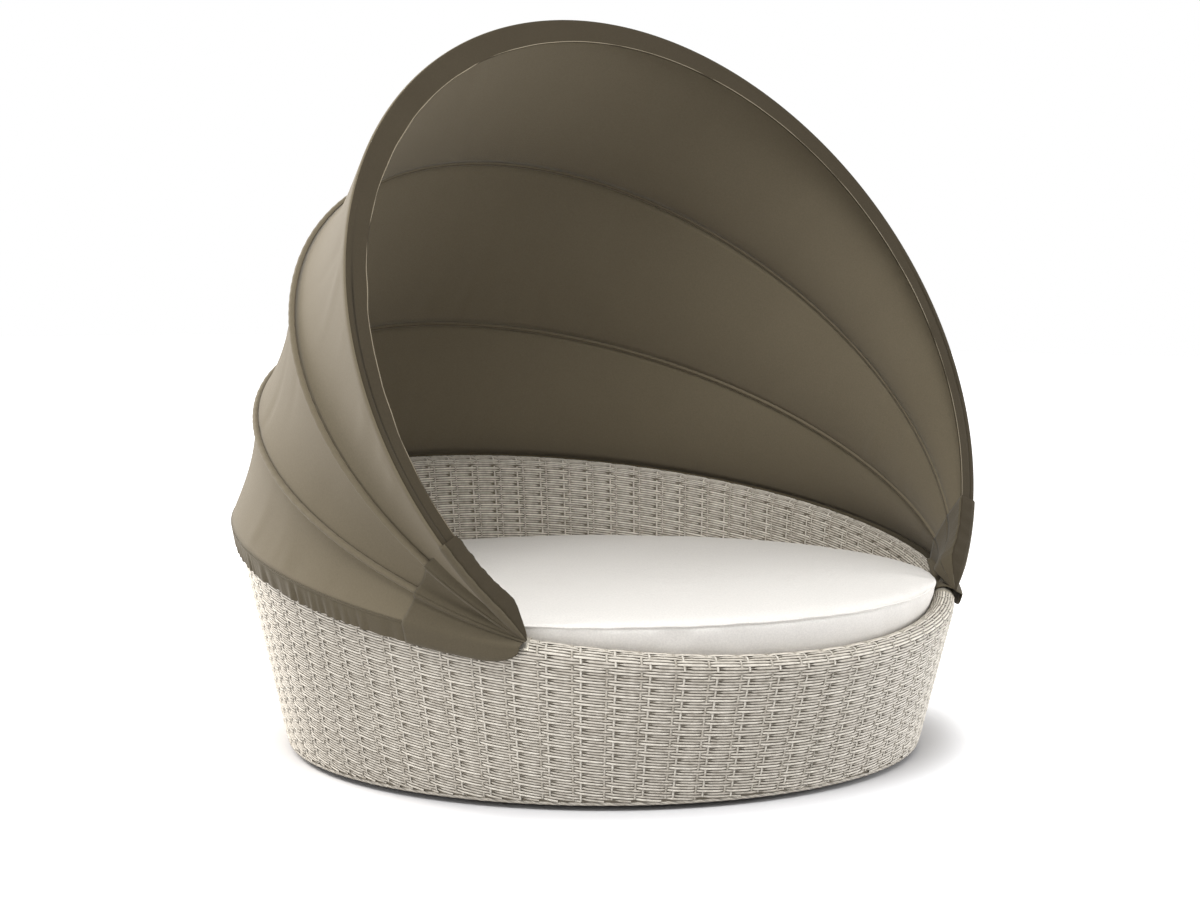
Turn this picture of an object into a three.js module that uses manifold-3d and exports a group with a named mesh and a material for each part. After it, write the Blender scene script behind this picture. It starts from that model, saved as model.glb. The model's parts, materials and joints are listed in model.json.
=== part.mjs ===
// Round outdoor daybed: a woven drum on a turntable, a round mattress, and a folding canopy on three bows.
// Millimetres. +Z is up, +Y is the back, -Y is the open front, and the origin is under the middle foot.
import * as THREE from 'three';
import { mergeVertices } from 'three/addons/utils/BufferGeometryUtils.js';
import Module from 'manifold-3d';

const wasm = await Module();
wasm.setup();

// Fits that every piece shares
const fit = 0.3;
const overrun = 2;

// Woven drum: a level bottom edge and a larger, tilted rim, joined by straight lines
const bottomRadius = 768.6;
const rimFlare = 111.4;
const rimRadius = bottomRadius + rimFlare;
const rimTiltDegrees = 10.56;
const rimCentreBack = 22.9;
const rimCentreHeight = 478.9;
const floorGap = 12;
const skinThickness = 5;
const rimRollRadius = 26;
const bottomLip = 30;

// Tube frame inside the drum
const hoopTubeRadius = 10;
const rimTubeSlack = 1.1;
const hoopSlack = 3;
const stayRadius = 8;
const stayCount = 8;
const beamWidth = 40;
const beamHeight = 25;
const beamSpacing = 400;
const chassisHeight = 30;
const chassisHubRadius = 45;
const postRadius = 15;

// Seat
const deckTop = 262;
const deckThickness = 10;
const deckEdgeGap = 2;
const deckWallOffset = 3.3;
const drainHoleRadius = 12;
const drainRingShares = [0.67, 0.335];
const drainHoleStep = 270;
const mattressClearance = 6;
const mattressEdgeHeight = 133;
const mattressCrown = 18;
const mattressDrawIn = 5;
const mattressCorner = 14;
const crownFullness = 6;
const crownSoftness = 0.6;

// Turntable and feet
const footHeight = 8;
const gliderRadius = 30;
const gliderCount = 6;
const middleFootRadius = 45;
const floorRingRadius = 530;
const floorRingWidth = 60;
const floorRingThickness = 10;
const floorHubRadius = 80;
const raceWidth = 44;
const raceThickness = 6;
const slideThickness = 6;
const pivotPinRadius = 15;
const pivotPinRise = 24;

// Canopy: every bow is one arc, stretched a little along its reach, and all their ends stand on one line
const canopyInset = 11;
const canopyHalfWidth = rimRadius - canopyInset;
const canopyRise = 654;
const canopyReach = canopyHalfWidth + canopyRise;
const canopyRootDegrees = 44.87;
const canopyRootLift = 8.5;
const bowDegrees = { front: 64.59, middle: 44.44, rear: 24.85 };
const bowTubeRadius = 6.5;
const clothThickness = 2.5;
const panelSag = 14;
const panelSagShare = 0.08;
const facingTopWidth = 62;
const facingEndWidth = 34;
const hemDrop = 45;
const hemRise = 20;
const hemStandOff = 10;
const hemGather = 2;
const hemEndSharpness = 8;

// Canopy hinges: flat links side by side on each rim bracket, one bolt for each bow
const hingeReach = 57;
const hingeSideGap = 35;
const linkThickness = 4;
const linkEyeRadius = 11;
const linkNeck = 5.5;
const linkStraight = 12;
const tongueLength = 30;
const washerThickness = 1;
const washerRadius = 9;
const boltRadius = 4;
const boltHeadRadius = 6.5;
const boltHeadHeight = 3;
const nutHeight = 5;
const clothStart = 110;
const gussetStart = 25;
const saddleThickness = 5;
const bracketFootHalf = 28;

// Facets
const wallSteps = 64;
const roundSteps = 40;
const rollSteps = 3;
const hoopSteps = 48;
const hoopSides = 6;
const bowSteps = 32;
const bowSides = 8;
const panelColumns = 5;
const gussetRows = 5;
const hemSteps = 72;
const boltSides = 12;
const nutSides = 6;
const drainSides = 8;
const cutterSides = 32;
const cutterSteps = 3;

const radians = THREE.MathUtils.degToRad;
const point = (x, y, z) => new THREE.Vector3(x, y, z);
const fullTurn = 2 * Math.PI;
const rimTilt = radians(rimTiltDegrees);

// Finishes
function finish(color, roughness, metalness = 0) {
  return new THREE.MeshStandardMaterial({ color, roughness, metalness });
}

const finishes = {
  weave: () => finish(0xcfc6b4, 0.55),
  frame: () => finish(0xb9b4a8, 0.45, 0.6),
  steel: () => finish(0xc4c6c8, 0.3, 1),
  deck: () => finish(0x8c8577, 0.6, 0.2),
  cushion: () => finish(0xe9e6e0, 0.9),
  cloth: () => finish(0x6b6250, 0.85),
  rubber: () => finish(0x2a2a2a, 0.8),
  acetal: () => finish(0xe4e2dc, 0.4),
};

const daybed = new THREE.Group();

function place(name, geometry, material) {
  const mesh = new THREE.Mesh(geometry, material);
  mesh.name = name;
  daybed.add(mesh);
  return mesh;
}

// Mesh helpers
function signedVolume(geometry) {
  const corner = geometry.attributes.position;
  const order = geometry.index.array;
  const [a, b, c] = [point(), point(), point()];
  let volume = 0;
  for (let k = 0; k < order.length; k += 3) {
    a.fromBufferAttribute(corner, order[k]);
    b.fromBufferAttribute(corner, order[k + 1]);
    c.fromBufferAttribute(corner, order[k + 2]);
    volume += a.dot(b.cross(c));
  }
  return volume;
}

function closedGeometry(source) {
  const bare = source.clone();
  bare.deleteAttribute('normal');
  bare.deleteAttribute('uv');
  const geometry = mergeVertices(bare);
  if (signedVolume(geometry) < 0) geometry.index.array.reverse();
  return geometry;
}

function solidOf(source) {
  const geometry = closedGeometry(source);
  const vertProperties = new Float32Array(geometry.attributes.position.array);
  const triVerts = new Uint32Array(geometry.index.array);
  return new wasm.Manifold(new wasm.Mesh({ numProp: 3, vertProperties, triVerts }));
}

function geometryOf(solid) {
  const mesh = solid.getMesh();
  const geometry = new THREE.BufferGeometry();
  geometry.setAttribute('position', new THREE.BufferAttribute(new Float32Array(mesh.vertProperties), 3));
  geometry.setIndex(new THREE.BufferAttribute(new Uint32Array(mesh.triVerts), 1));
  return geometry;
}

const joined = (pieces) => geometryOf(pieces.map(solidOf).reduce((sum, next) => sum.add(next)));

function indexedGeometry(points, index) {
  const geometry = new THREE.BufferGeometry();
  const corners = points.flatMap((p) => p.toArray());
  geometry.setAttribute('position', new THREE.Float32BufferAttribute(corners, 3));
  geometry.setIndex(index);
  return closedGeometry(geometry);
}

// Closed sections joined one to the next all the way round
function ringLoft(sections) {
  const count = sections[0].length;
  const index = [];
  sections.forEach((_, i) => {
    const here = i * count;
    const next = ((i + 1) % sections.length) * count;
    for (let k = 0; k < count; k += 1) {
      const after = (k + 1) % count;
      index.push(here + k, next + k, next + after, here + k, next + after, here + after);
    }
  });
  return indexedGeometry(sections.flat(), index);
}

// A grid of points thickened into a closed sheet: rows by columns, half the thickness to each side
function thickSheet(grid, thickness) {
  const rows = grid.length;
  const columns = grid[0].length;
  const sides = [1, -1].map((side) => grid.map((row, i) => row.map((p, j) => {
    const along = grid[Math.min(i + 1, rows - 1)][j].clone().sub(grid[Math.max(i - 1, 0)][j]);
    const across = row[Math.min(j + 1, columns - 1)].clone().sub(row[Math.max(j - 1, 0)]);
    const normal = along.cross(across).normalize();
    return p.clone().addScaledVector(normal, (side * thickness) / 2);
  })));
  const at = (side, i, j) => side * rows * columns + i * columns + j;
  const index = [];
  const quad = (a, b, c, d) => index.push(a, b, c, a, c, d);
  for (let i = 0; i + 1 < rows; i += 1) {
    for (let j = 0; j + 1 < columns; j += 1) {
      quad(at(0, i, j), at(0, i + 1, j), at(0, i + 1, j + 1), at(0, i, j + 1));
      quad(at(1, i, j), at(1, i, j + 1), at(1, i + 1, j + 1), at(1, i + 1, j));
    }
    const last = columns - 1;
    quad(at(0, i + 1, 0), at(0, i, 0), at(1, i, 0), at(1, i + 1, 0));
    quad(at(0, i, last), at(0, i + 1, last), at(1, i + 1, last), at(1, i, last));
  }
  for (let j = 0; j + 1 < columns; j += 1) {
    const last = rows - 1;
    quad(at(0, 0, j), at(0, 0, j + 1), at(1, 0, j + 1), at(1, 0, j));
    quad(at(0, last, j + 1), at(0, last, j), at(1, last, j), at(1, last, j + 1));
  }
  return indexedGeometry(sides.flat(2), index);
}

// Turned pieces: a closed profile of [radius, height] pairs round the Z axis
function turned(profile, steps = roundSteps) {
  const outline = profile.map(([radius, height]) => new THREE.Vector2(radius, height));
  const lathe = new THREE.LatheGeometry(outline, steps);
  lathe.rotateX(Math.PI / 2);
  return closedGeometry(lathe);
}

function flatRing(inner, outer, bottom, thickness, steps = roundSteps) {
  const top = bottom + thickness;
  return turned([[inner, bottom], [outer, bottom], [outer, top], [inner, top], [inner, bottom]], steps);
}

function disc(radius, bottom, thickness, steps = roundSteps) {
  const top = bottom + thickness;
  return turned([[0, bottom], [radius, bottom], [radius, top], [0, top]], steps);
}

function bar(width, depth, height, x, y, bottom) {
  const box = new THREE.BoxGeometry(width, depth, height);
  box.translate(x, y, bottom + height / 2);
  return box;
}

// A straight rod between two points
function rod(from, to, radius, sides) {
  const length = from.distanceTo(to);
  const cylinder = new THREE.CylinderGeometry(radius, radius, length, sides);
  const turn = new THREE.Quaternion().setFromUnitVectors(point(0, 1, 0), to.clone().sub(from).normalize());
  cylinder.applyQuaternion(turn);
  const middle = from.clone().lerp(to, 0.5);
  cylinder.translate(middle.x, middle.y, middle.z);
  return closedGeometry(cylinder);
}

// Drum surface: the rim lies on a tilted circle, and the wall runs straight down to the bottom circle
const rimNormal = point(0, -Math.sin(rimTilt), Math.cos(rimTilt));
const rimBack = point(0, Math.cos(rimTilt), Math.sin(rimTilt));
const rimOutward = (t) => point(Math.cos(t), 0, 0).addScaledVector(rimBack, Math.sin(t));
const rimCentre = point(0, rimCentreBack, rimCentreHeight);
const rimCorner = (t) => rimOutward(t).multiplyScalar(rimRadius).add(rimCentre);
const bottomCorner = (t) => point(bottomRadius * Math.cos(t), bottomRadius * Math.sin(t), floorGap);
const wallDown = (t) => bottomCorner(t).sub(rimCorner(t)).normalize();
const wallInward = (t) => {
  const down = wallDown(t);
  const inward = rimOutward(t).negate();
  return inward.addScaledVector(down, -inward.dot(down)).normalize();
};

// The rolled rim touches the wall line and the rim plane
function rimRoll(t) {
  const down = wallDown(t);
  const inward = rimOutward(t).negate();
  const corner = Math.acos(inward.dot(down));
  const toCentre = down.clone().add(inward).normalize();
  const centre = rimCorner(t).addScaledVector(toCentre, rimRollRadius / Math.sin(corner / 2));
  const outside = wallInward(t).negate();
  const top = down.clone().addScaledVector(inward, -down.dot(inward)).normalize().negate();
  return { centre, outside, top, inward };
}

function between(from, to, share) {
  const angle = Math.acos(THREE.MathUtils.clamp(from.dot(to), -1, 1));
  const start = from.clone().multiplyScalar(Math.sin((1 - share) * angle));
  return start.addScaledVector(to, Math.sin(share * angle)).divideScalar(Math.sin(angle));
}

// Frame lines inside the wall
const baseHoopRadius = bottomRadius - skinThickness - hoopSlack - hoopTubeRadius;
const baseHoopHeight = floorGap + skinThickness + fit + hoopTubeRadius;
const rimTubeRadius = rimRollRadius - skinThickness - rimTubeSlack;
const rimHoopRadius = rimRoll(0).centre.x;
const level = (t, radius, height) => point(radius * Math.cos(t), radius * Math.sin(t), height);
const baseHoopPoint = (t) => level(t, baseHoopRadius, baseHoopHeight);
const stayAngles = Array.from({ length: stayCount }, (_, k) => ((k + 1 / 2) * fullTurn) / stayCount);

const deckBottom = deckTop - deckThickness;
const seatHoopHeight = deckBottom - fit - hoopTubeRadius;
const stayDistance = (t) => {
  const low = baseHoopPoint(t);
  const line = rimRoll(t).centre.sub(low);
  const crossing = low.addScaledVector(line, (seatHoopHeight - low.z) / line.z);
  return Math.hypot(crossing.x, crossing.y);
};
const seatHoopRadius = Math.min(...stayAngles.map(stayDistance)) - stayRadius - fit - hoopTubeRadius;
const deckWallRadius = seatHoopRadius + deckWallOffset;

// The section of the woven skin at one place: its seen face, then back along its hidden face
function rollPoint(t, share, radius) {
  const { centre, outside, top, inward } = rimRoll(t);
  const toDeck = level(t, deckWallRadius, deckBottom).sub(centre);
  const reach = toDeck.length();
  toDeck.normalize();
  const side = inward.clone().addScaledVector(toDeck, -inward.dot(toDeck)).normalize();
  const lean = rimRollRadius / reach;
  const inside = side.multiplyScalar(Math.sqrt(1 - lean * lean)).addScaledVector(toDeck, lean);
  const direction = share < 0 ? between(outside, top, 1 + share) : between(top, inside, share);
  return centre.addScaledVector(direction, radius);
}

function skinSection(t) {
  const shares = Array.from({ length: 2 * rollSteps + 1 }, (_, k) => k / rollSteps - 1);
  const low = bottomCorner(t);
  const lipTop = low.clone().add(point(0, 0, skinThickness));
  const flatInward = point(-Math.cos(t), -Math.sin(t), 0);
  const outer = shares.map((share) => rollPoint(t, share, rimRollRadius));
  const inner = shares.map((share) => rollPoint(t, share, rimRollRadius - skinThickness)).reverse();
  return [
    low.clone().addScaledVector(flatInward, bottomLip),
    low,
    ...outer,
    level(t, deckWallRadius, deckBottom),
    level(t, deckWallRadius + skinThickness, deckBottom),
    ...inner,
    lipTop.clone().addScaledVector(flatInward, skinThickness),
    lipTop.clone().addScaledVector(flatInward, bottomLip),
  ];
}

const wallAngle = (k) => (k * fullTurn) / wallSteps;

function makeWovenWall() {
  const sections = Array.from({ length: wallSteps }, (_, k) => skinSection(wallAngle(k)));
  place('woven_wall', ringLoft(sections), finishes.weave());
}

// Welded tube frame
function hoop(steps, tubeRadius, lineAt) {
  const sections = Array.from({ length: steps }, (_, k) => {
    const { centre, inward, up } = lineAt((k * fullTurn) / steps);
    return Array.from({ length: hoopSides }, (__, j) => {
      const angle = ((j + 1 / 2) * fullTurn) / hoopSides;
      const offset = inward.clone().multiplyScalar(Math.cos(angle)).addScaledVector(up, Math.sin(angle));
      return centre.clone().addScaledVector(offset, tubeRadius);
    });
  });
  return ringLoft(sections);
}

function levelHoop(radius, height, tubeRadius) {
  return hoop(hoopSteps, tubeRadius, (t) => (
    { centre: level(t, radius, height), inward: level(t, -1, 0), up: point(0, 0, 1) }
  ));
}

function rimHoop(tubeRadius) {
  return hoop(wallSteps, tubeRadius, (t) => ({ ...rimRoll(t), up: rimNormal }));
}

// What a piece that ends on a tube is cut back from
const cope = fit / Math.cos(Math.PI / hoopSides);
const baseCope = () => solidOf(levelHoop(baseHoopRadius, baseHoopHeight, hoopTubeRadius + cope));
const seatCope = () => solidOf(levelHoop(seatHoopRadius, seatHoopHeight, hoopTubeRadius + cope));
const rimCope = () => solidOf(rimHoop(rimTubeRadius + cope));

function makeFrame() {
  place('base_hoop', levelHoop(baseHoopRadius, baseHoopHeight, hoopTubeRadius), finishes.frame());
  place('seat_hoop', levelHoop(seatHoopRadius, seatHoopHeight, hoopTubeRadius), finishes.frame());
  place('rim_hoop', rimHoop(rimTubeRadius), finishes.frame());
  const ends = baseCope().add(rimCope());
  stayAngles.forEach((t, k) => {
    const stay = solidOf(rod(baseHoopPoint(t), rimRoll(t).centre, stayRadius, hoopSides));
    place(`stay_${k + 1}`, geometryOf(stay.subtract(ends)), finishes.frame());
  });
}

// Turntable heights, from the floor up
const floorRingBottom = footHeight + fit;
const lowerRaceBottom = floorRingBottom + floorRingThickness + fit;
const slideBottom = lowerRaceBottom + raceThickness + fit;
const upperRaceBottom = slideBottom + slideThickness + fit;
const chassisBottom = Math.max(upperRaceBottom + raceThickness, baseHoopHeight + hoopTubeRadius) + fit;
const beamBottom = deckBottom - fit - beamHeight;

function makeFloorBase() {
  const inner = floorRingRadius - floorRingWidth / 2;
  const outer = floorRingRadius + floorRingWidth / 2;
  const arms = [0, Math.PI / 2].map((turn) => {
    const arm = bar(2 * inner + floorRingWidth, floorRingWidth, floorRingThickness, 0, 0, floorRingBottom);
    arm.rotateZ(turn);
    return arm;
  });
  const ring = flatRing(inner, outer, floorRingBottom, floorRingThickness);
  const hub = disc(floorHubRadius, floorRingBottom, floorRingThickness);
  place('floor_ring', joined([ring, hub, ...arms]), finishes.frame());
  place('middle_foot', disc(middleFootRadius, 0, footHeight), finishes.rubber());
  for (let k = 0; k < gliderCount; k += 1) {
    const glider = disc(gliderRadius, 0, footHeight, boltSides);
    const t = ((k + 1 / 2) * fullTurn) / gliderCount;
    glider.translate(floorRingRadius * Math.cos(t), floorRingRadius * Math.sin(t), 0);
    place(`glider_${k + 1}`, glider, finishes.rubber());
  }
  const raceInner = floorRingRadius - raceWidth / 2;
  const raceOuter = floorRingRadius + raceWidth / 2;
  const upperThickness = chassisBottom - fit - upperRaceBottom;
  place('lower_race', flatRing(raceInner, raceOuter, lowerRaceBottom, raceThickness), finishes.steel());
  place('slide_ring', flatRing(raceInner, raceOuter, slideBottom, slideThickness), finishes.acetal());
  place('upper_race', flatRing(raceInner, raceOuter, upperRaceBottom, upperThickness), finishes.steel());
  const pinBottom = floorRingBottom + floorRingThickness + fit;
  const pinTop = chassisBottom + pivotPinRise;
  const pin = disc(pivotPinRadius, pinBottom, pinTop - pinBottom, cutterSides);
  place('pivot_pin', pin, finishes.steel());
}

// Welded cross under the drum, with a post under each deck beam
function makeChassis() {
  const reach = baseHoopRadius;
  const arms = [0, Math.PI / 2].map((turn) => {
    const arm = bar(2 * reach, beamWidth, chassisHeight, 0, 0, chassisBottom);
    arm.rotateZ(turn);
    return arm;
  });
  const postHeight = beamBottom - fit - chassisBottom;
  const posts = [0, 1, 2, 3].map((quarter) => {
    const post = disc(postRadius, chassisBottom, postHeight, boltSides);
    post.translate(beamSpacing, 0, 0);
    post.rotateZ((quarter * fullTurn) / 4);
    return post;
  });
  const hub = disc(chassisHubRadius, chassisBottom, chassisHeight);
  const boreRadius = (pivotPinRadius + fit) / Math.cos(Math.PI / cutterSides);
  const boreLength = chassisHeight + 2 * overrun;
  const bore = disc(boreRadius, chassisBottom - overrun, boreLength, cutterSides);
  const body = [...arms, ...posts, hub].map(solidOf).reduce((sum, next) => sum.add(next));
  place('chassis', geometryOf(body.subtract(solidOf(bore))), finishes.frame());
}

function makeDeck() {
  const inside = solidOf(disc(seatHoopRadius, beamBottom - overrun, beamHeight + 2 * overrun, hoopSteps));
  const room = inside.subtract(seatCope());
  [-1, 0, 1].forEach((row, k) => {
    const beam = bar(2 * seatHoopRadius, beamWidth, beamHeight, 0, row * beamSpacing, beamBottom);
    place(`deck_beam_${k + 1}`, geometryOf(solidOf(beam).intersect(room)), finishes.frame());
  });
  const shape = new THREE.Shape();
  const deckRadius = deckWallRadius - deckEdgeGap;
  shape.setFromPoints(circlePoints(deckRadius, roundSteps));
  drainRingShares.forEach((share) => {
    const radius = share * deckRadius;
    const count = Math.round((fullTurn * radius) / drainHoleStep);
    for (let k = 0; k < count; k += 1) {
      const t = ((k + 1 / 2) * fullTurn) / count;
      const hole = circlePoints(drainHoleRadius, drainSides);
      hole.forEach((p) => p.add(new THREE.Vector2(radius * Math.cos(t), radius * Math.sin(t))));
      shape.holes.push(new THREE.Path(hole));
    }
  });
  const board = new THREE.ExtrudeGeometry(shape, { depth: deckThickness, bevelEnabled: false });
  board.translate(0, 0, deckBottom);
  place('seat_deck', closedGeometry(board), finishes.deck());
}

function circlePoints(radius, count) {
  return Array.from({ length: count }, (_, k) => {
    const t = (k * fullTurn) / count;
    return new THREE.Vector2(radius * Math.cos(t), radius * Math.sin(t));
  });
}

// How wide a round pad's top may be so that its side clears the inner wall at one place round the drum
function topRadiusAt(t, lowRadius, bottom, top) {
  const wallEnd = rollPoint(t, 1, rimRollRadius);
  const endRadius = Math.hypot(wallEnd.x, wallEnd.y);
  if (wallEnd.z > top) {
    const rise = (top - deckBottom) / (wallEnd.z - deckBottom);
    return THREE.MathUtils.lerp(deckWallRadius, endRadius, rise) - mattressClearance;
  }
  const room = endRadius - mattressClearance - lowRadius;
  return lowRadius + (room * (top - bottom)) / (wallEnd.z - bottom);
}

// Round mattress: flat underneath, side flared with the wall and drawn in between its seams, crowned top
function makeMattress() {
  const lowRadius = deckWallRadius - mattressClearance;
  const bottom = deckTop + fit;
  const seam = bottom + mattressEdgeHeight;
  const places = Array.from({ length: wallSteps }, (_, k) => wallAngle(k));
  const radius = Math.min(...places.map((t) => topRadiusAt(t, lowRadius, bottom, seam)));
  const sideShares = [0, 0.25, 0.5, 0.75, 1];
  const crownShares = [0.985, 0.95, 0.88, 0.75, 0.5, 0.25];
  const sideBottom = bottom + mattressCorner;
  const side = sideShares.map((share) => [
    THREE.MathUtils.lerp(lowRadius, radius, share) - mattressDrawIn * Math.sin(share * Math.PI),
    sideBottom + share * (seam - sideBottom),
  ]);
  const crownRise = (share) => mattressCrown * (1 - share ** crownFullness) ** crownSoftness;
  const crown = crownShares.map((share) => [radius * share, seam + crownRise(share)]);
  const lowCorner = lowRadius - mattressCorner * (1 - Math.SQRT1_2);
  const profile = [
    [0, bottom],
    [lowRadius - mattressCorner, bottom],
    [lowCorner, bottom + mattressCorner * (1 - Math.SQRT1_2)],
    ...side,
    ...crown,
    [0, seam + mattressCrown],
  ];
  place('mattress', turned(profile), finishes.cushion());
}

// Canopy bows: inset is measured inward from the canopy's outer face, lift is square to the bow's plane
const rimRoot = rimCorner(-radians(canopyRootDegrees));
const bowRoot = point(0, rimRoot.y, rimRoot.z + canopyRootLift);
const chordDepth = Math.sqrt(canopyHalfWidth ** 2 - rimRoot.x ** 2);
const stretch = canopyReach / (chordDepth + canopyHalfWidth);
const bowFrame = (name) => {
  const angle = radians(bowDegrees[name]);
  const along = point(0, Math.cos(angle), Math.sin(angle));
  const lift = point(0, -Math.sin(angle), Math.cos(angle));
  return { along, lift, across: point(1, 0, 0) };
};

function bowPoint(name, phi, inset, lift = 0) {
  const { along, lift: up } = bowFrame(name);
  const radius = canopyHalfWidth - inset;
  const reach = (chordDepth + radius * Math.sin(phi)) * stretch;
  const base = point(radius * Math.cos(phi), 0, 0).add(bowRoot);
  return base.addScaledVector(along, reach).addScaledVector(up, lift);
}

const phiAt = (reach, inset) => Math.asin((reach / stretch - chordDepth) / (canopyHalfWidth - inset));
const tubeInset = clothThickness + 2 * fit + bowTubeRadius;
const clothInset = clothThickness / 2;
const spread = (start, steps, k) => start + ((Math.PI - 2 * start) * k) / steps;
const bowStart = phiAt(clothStart, clothInset);

// Hinge layers, counted outward from the bracket, all inside the cloth that passes beside them
const hingeHalfSpan = canopyHalfWidth * Math.cos(phiAt(hingeReach, 0)) - hingeSideGap;
const layerPitch = linkThickness + washerThickness + 2 * fit;
const layerOf = { bracket: 0, rear: 1, middle: 2, front: 3 };
const layerCentre = (name) => hingeHalfSpan + layerOf[name] * layerPitch;
const hingeBolt = (name) => bowRoot.clone().addScaledVector(bowFrame(name).along, hingeReach);

// A flat plate of the links' thickness, set in place by a matrix
function plate(shape, toWorld) {
  const flat = new THREE.ExtrudeGeometry(shape, { depth: linkThickness, bevelEnabled: false });
  return flat.applyMatrix4(toWorld);
}

// Flat link: eyes for its own bolt and for the bolt that it carries, and a bent tongue into the tube
function linkPieces(name, carries, side) {
  const { along, lift, across } = bowFrame(name);
  const eyes = [name, carries].filter(Boolean).map((bolt) => {
    const offset = hingeBolt(bolt).sub(bowRoot);
    return new THREE.Vector2(offset.dot(along), offset.dot(lift));
  });
  const flatEnd = hingeReach + linkEyeRadius;
  const neckEnd = flatEnd + linkStraight;
  const start = side * layerCentre(name) - linkThickness / 2;
  const toWorld = new THREE.Matrix4().makeBasis(along, lift, across);
  toWorld.setPosition(point(start, 0, 0).add(bowRoot));
  const eyeDiscs = eyes.map((eye) => {
    const round = circlePoints(linkEyeRadius, boltSides).map((p) => p.add(eye));
    return plate(new THREE.Shape(round), toWorld);
  });
  const web = eyes.length > 1 ? [linkWeb(eyes, linkEyeRadius)] : [];
  const neck = new THREE.Shape([
    new THREE.Vector2(hingeReach, -linkNeck),
    new THREE.Vector2(neckEnd, -linkNeck),
    new THREE.Vector2(neckEnd, linkNeck),
    new THREE.Vector2(hingeReach, linkNeck),
  ]);
  const plates = [neck, ...web].map((shape) => plate(shape, toWorld));
  const tongue = tongueStrip(name, side, neckEnd);
  return [...eyeDiscs, ...plates, tongue];
}

// The straight-sided web between two eyes
function linkWeb([from, to], halfWidth) {
  const direction = to.clone().sub(from).normalize();
  const square = new THREE.Vector2(-direction.y, direction.x).multiplyScalar(halfWidth);
  return new THREE.Shape([
    from.clone().add(square), from.clone().sub(square), to.clone().sub(square), to.clone().add(square),
  ]);
}

function tongueStrip(name, side, neckEnd) {
  const { along, lift, across } = bowFrame(name);
  const route = [new THREE.Vector2(layerCentre(name), neckEnd - linkThickness)];
  route.push(new THREE.Vector2(layerCentre(name), neckEnd));
  [0, tongueLength].forEach((extra) => {
    const phi = phiAt(clothStart + extra, tubeInset);
    route.push(new THREE.Vector2((canopyHalfWidth - tubeInset) * Math.cos(phi), clothStart + extra));
  });
  const edges = [1, -1].map((edge) => route.map((p, k) => {
    const before = route[Math.max(k - 1, 0)];
    const after = route[Math.min(k + 1, route.length - 1)];
    const direction = after.clone().sub(before).normalize();
    const square = new THREE.Vector2(-direction.y, direction.x);
    return p.clone().addScaledVector(square, (edge * linkThickness) / 2);
  }));
  const outline = [...edges[0], ...edges[1].reverse()].map((p) => new THREE.Vector2(side * p.x, p.y));
  const depth = 2 * linkNeck - fit;
  const strip = new THREE.ExtrudeGeometry(new THREE.Shape(outline), { depth, bevelEnabled: false });
  const toWorld = new THREE.Matrix4().makeBasis(across, along, lift);
  toWorld.setPosition(bowRoot.clone().addScaledVector(lift, -depth / 2));
  return strip.applyMatrix4(toWorld);
}

// The bow's centre line, stepped evenly round its arc so that tube and cloth share their facets
class BowArc extends THREE.Curve {
  constructor(name) {
    super();
    this.name = name;
  }

  getUtoTmapping(share) {
    return share;
  }

  getPoint(share, target = point()) {
    return target.copy(bowPoint(this.name, spread(bowStart, 1, share), tubeInset));
  }
}

function bowTube(name) {
  const section = new THREE.Shape(circlePoints(bowTubeRadius, bowSides));
  return new THREE.ExtrudeGeometry(section, { steps: bowSteps, extrudePath: new BowArc(name) });
}

function boltHole(name) {
  const reach = hingeHalfSpan + (layerOf.front + 1) * layerPitch;
  const centre = hingeBolt(name);
  const from = centre.clone().add(point(-reach, 0, 0));
  const to = centre.clone().add(point(reach, 0, 0));
  return rod(from, to, boltRadius + fit, boltSides);
}

function makeBow(name, carries) {
  const pieces = [bowTube(name), ...linkPieces(name, carries, 1), ...linkPieces(name, carries, -1)];
  const whole = pieces.map(solidOf).reduce((sum, next) => sum.add(next));
  const holes = [name, carries].filter(Boolean).map((bolt) => solidOf(boltHole(bolt)));
  const bored = holes.reduce((rest, hole) => rest.subtract(hole), whole);
  place(`${name}_bow`, geometryOf(bored), finishes.frame());
}

// Bolt, nut and friction washer of one hinge, laid along X with the head outside
function alongX(geometry, side, distance, centre) {
  geometry.rotateY((side * Math.PI) / 2);
  geometry.translate(side * distance, centre.y, centre.z);
  return geometry;
}

function makeHinge(name, inner, side) {
  const label = `${name}_hinge`;
  const hand = side > 0 ? 'right' : 'left';
  const centre = hingeBolt(name);
  const innerFace = layerCentre(inner) - linkThickness / 2 - fit;
  const outerFace = layerCentre(name) + linkThickness / 2 + fit;
  const washerFace = layerCentre(inner) + linkThickness / 2 + fit;
  const shankStart = innerFace - nutHeight;
  const headTop = outerFace + boltHeadHeight;
  const bolt = turned([
    [0, shankStart],
    [boltRadius, shankStart],
    [boltRadius, outerFace],
    [boltHeadRadius, outerFace],
    [boltHeadRadius, headTop],
    [0, headTop],
  ], boltSides);
  const nutBlank = disc(boltHeadRadius, shankStart, nutHeight, nutSides);
  const nutBore = disc(boltRadius + fit, shankStart - overrun, nutHeight + 2 * overrun, boltSides);
  const nut = geometryOf(solidOf(nutBlank).subtract(solidOf(nutBore)));
  const washer = flatRing(boltRadius + fit, washerRadius, washerFace, washerThickness, boltSides);
  place(`${label}_bolt_${hand}`, alongX(bolt, side, 0, centre), finishes.steel());
  place(`${label}_nut_${hand}`, alongX(nut, side, 0, centre), finishes.steel());
  place(`${label}_washer_${hand}`, alongX(washer, side, 0, centre), finishes.acetal());
}

// Rim bracket: a saddle over the rolled rim carries an upright cheek with the rear bow's bolt
const footAngle = Math.acos(hingeHalfSpan / rimHoopRadius);
const footStep = Math.round((footAngle * wallSteps) / fullTurn);
const onSide = (p, side) => point(side * p.x, p.y, p.z);

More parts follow.
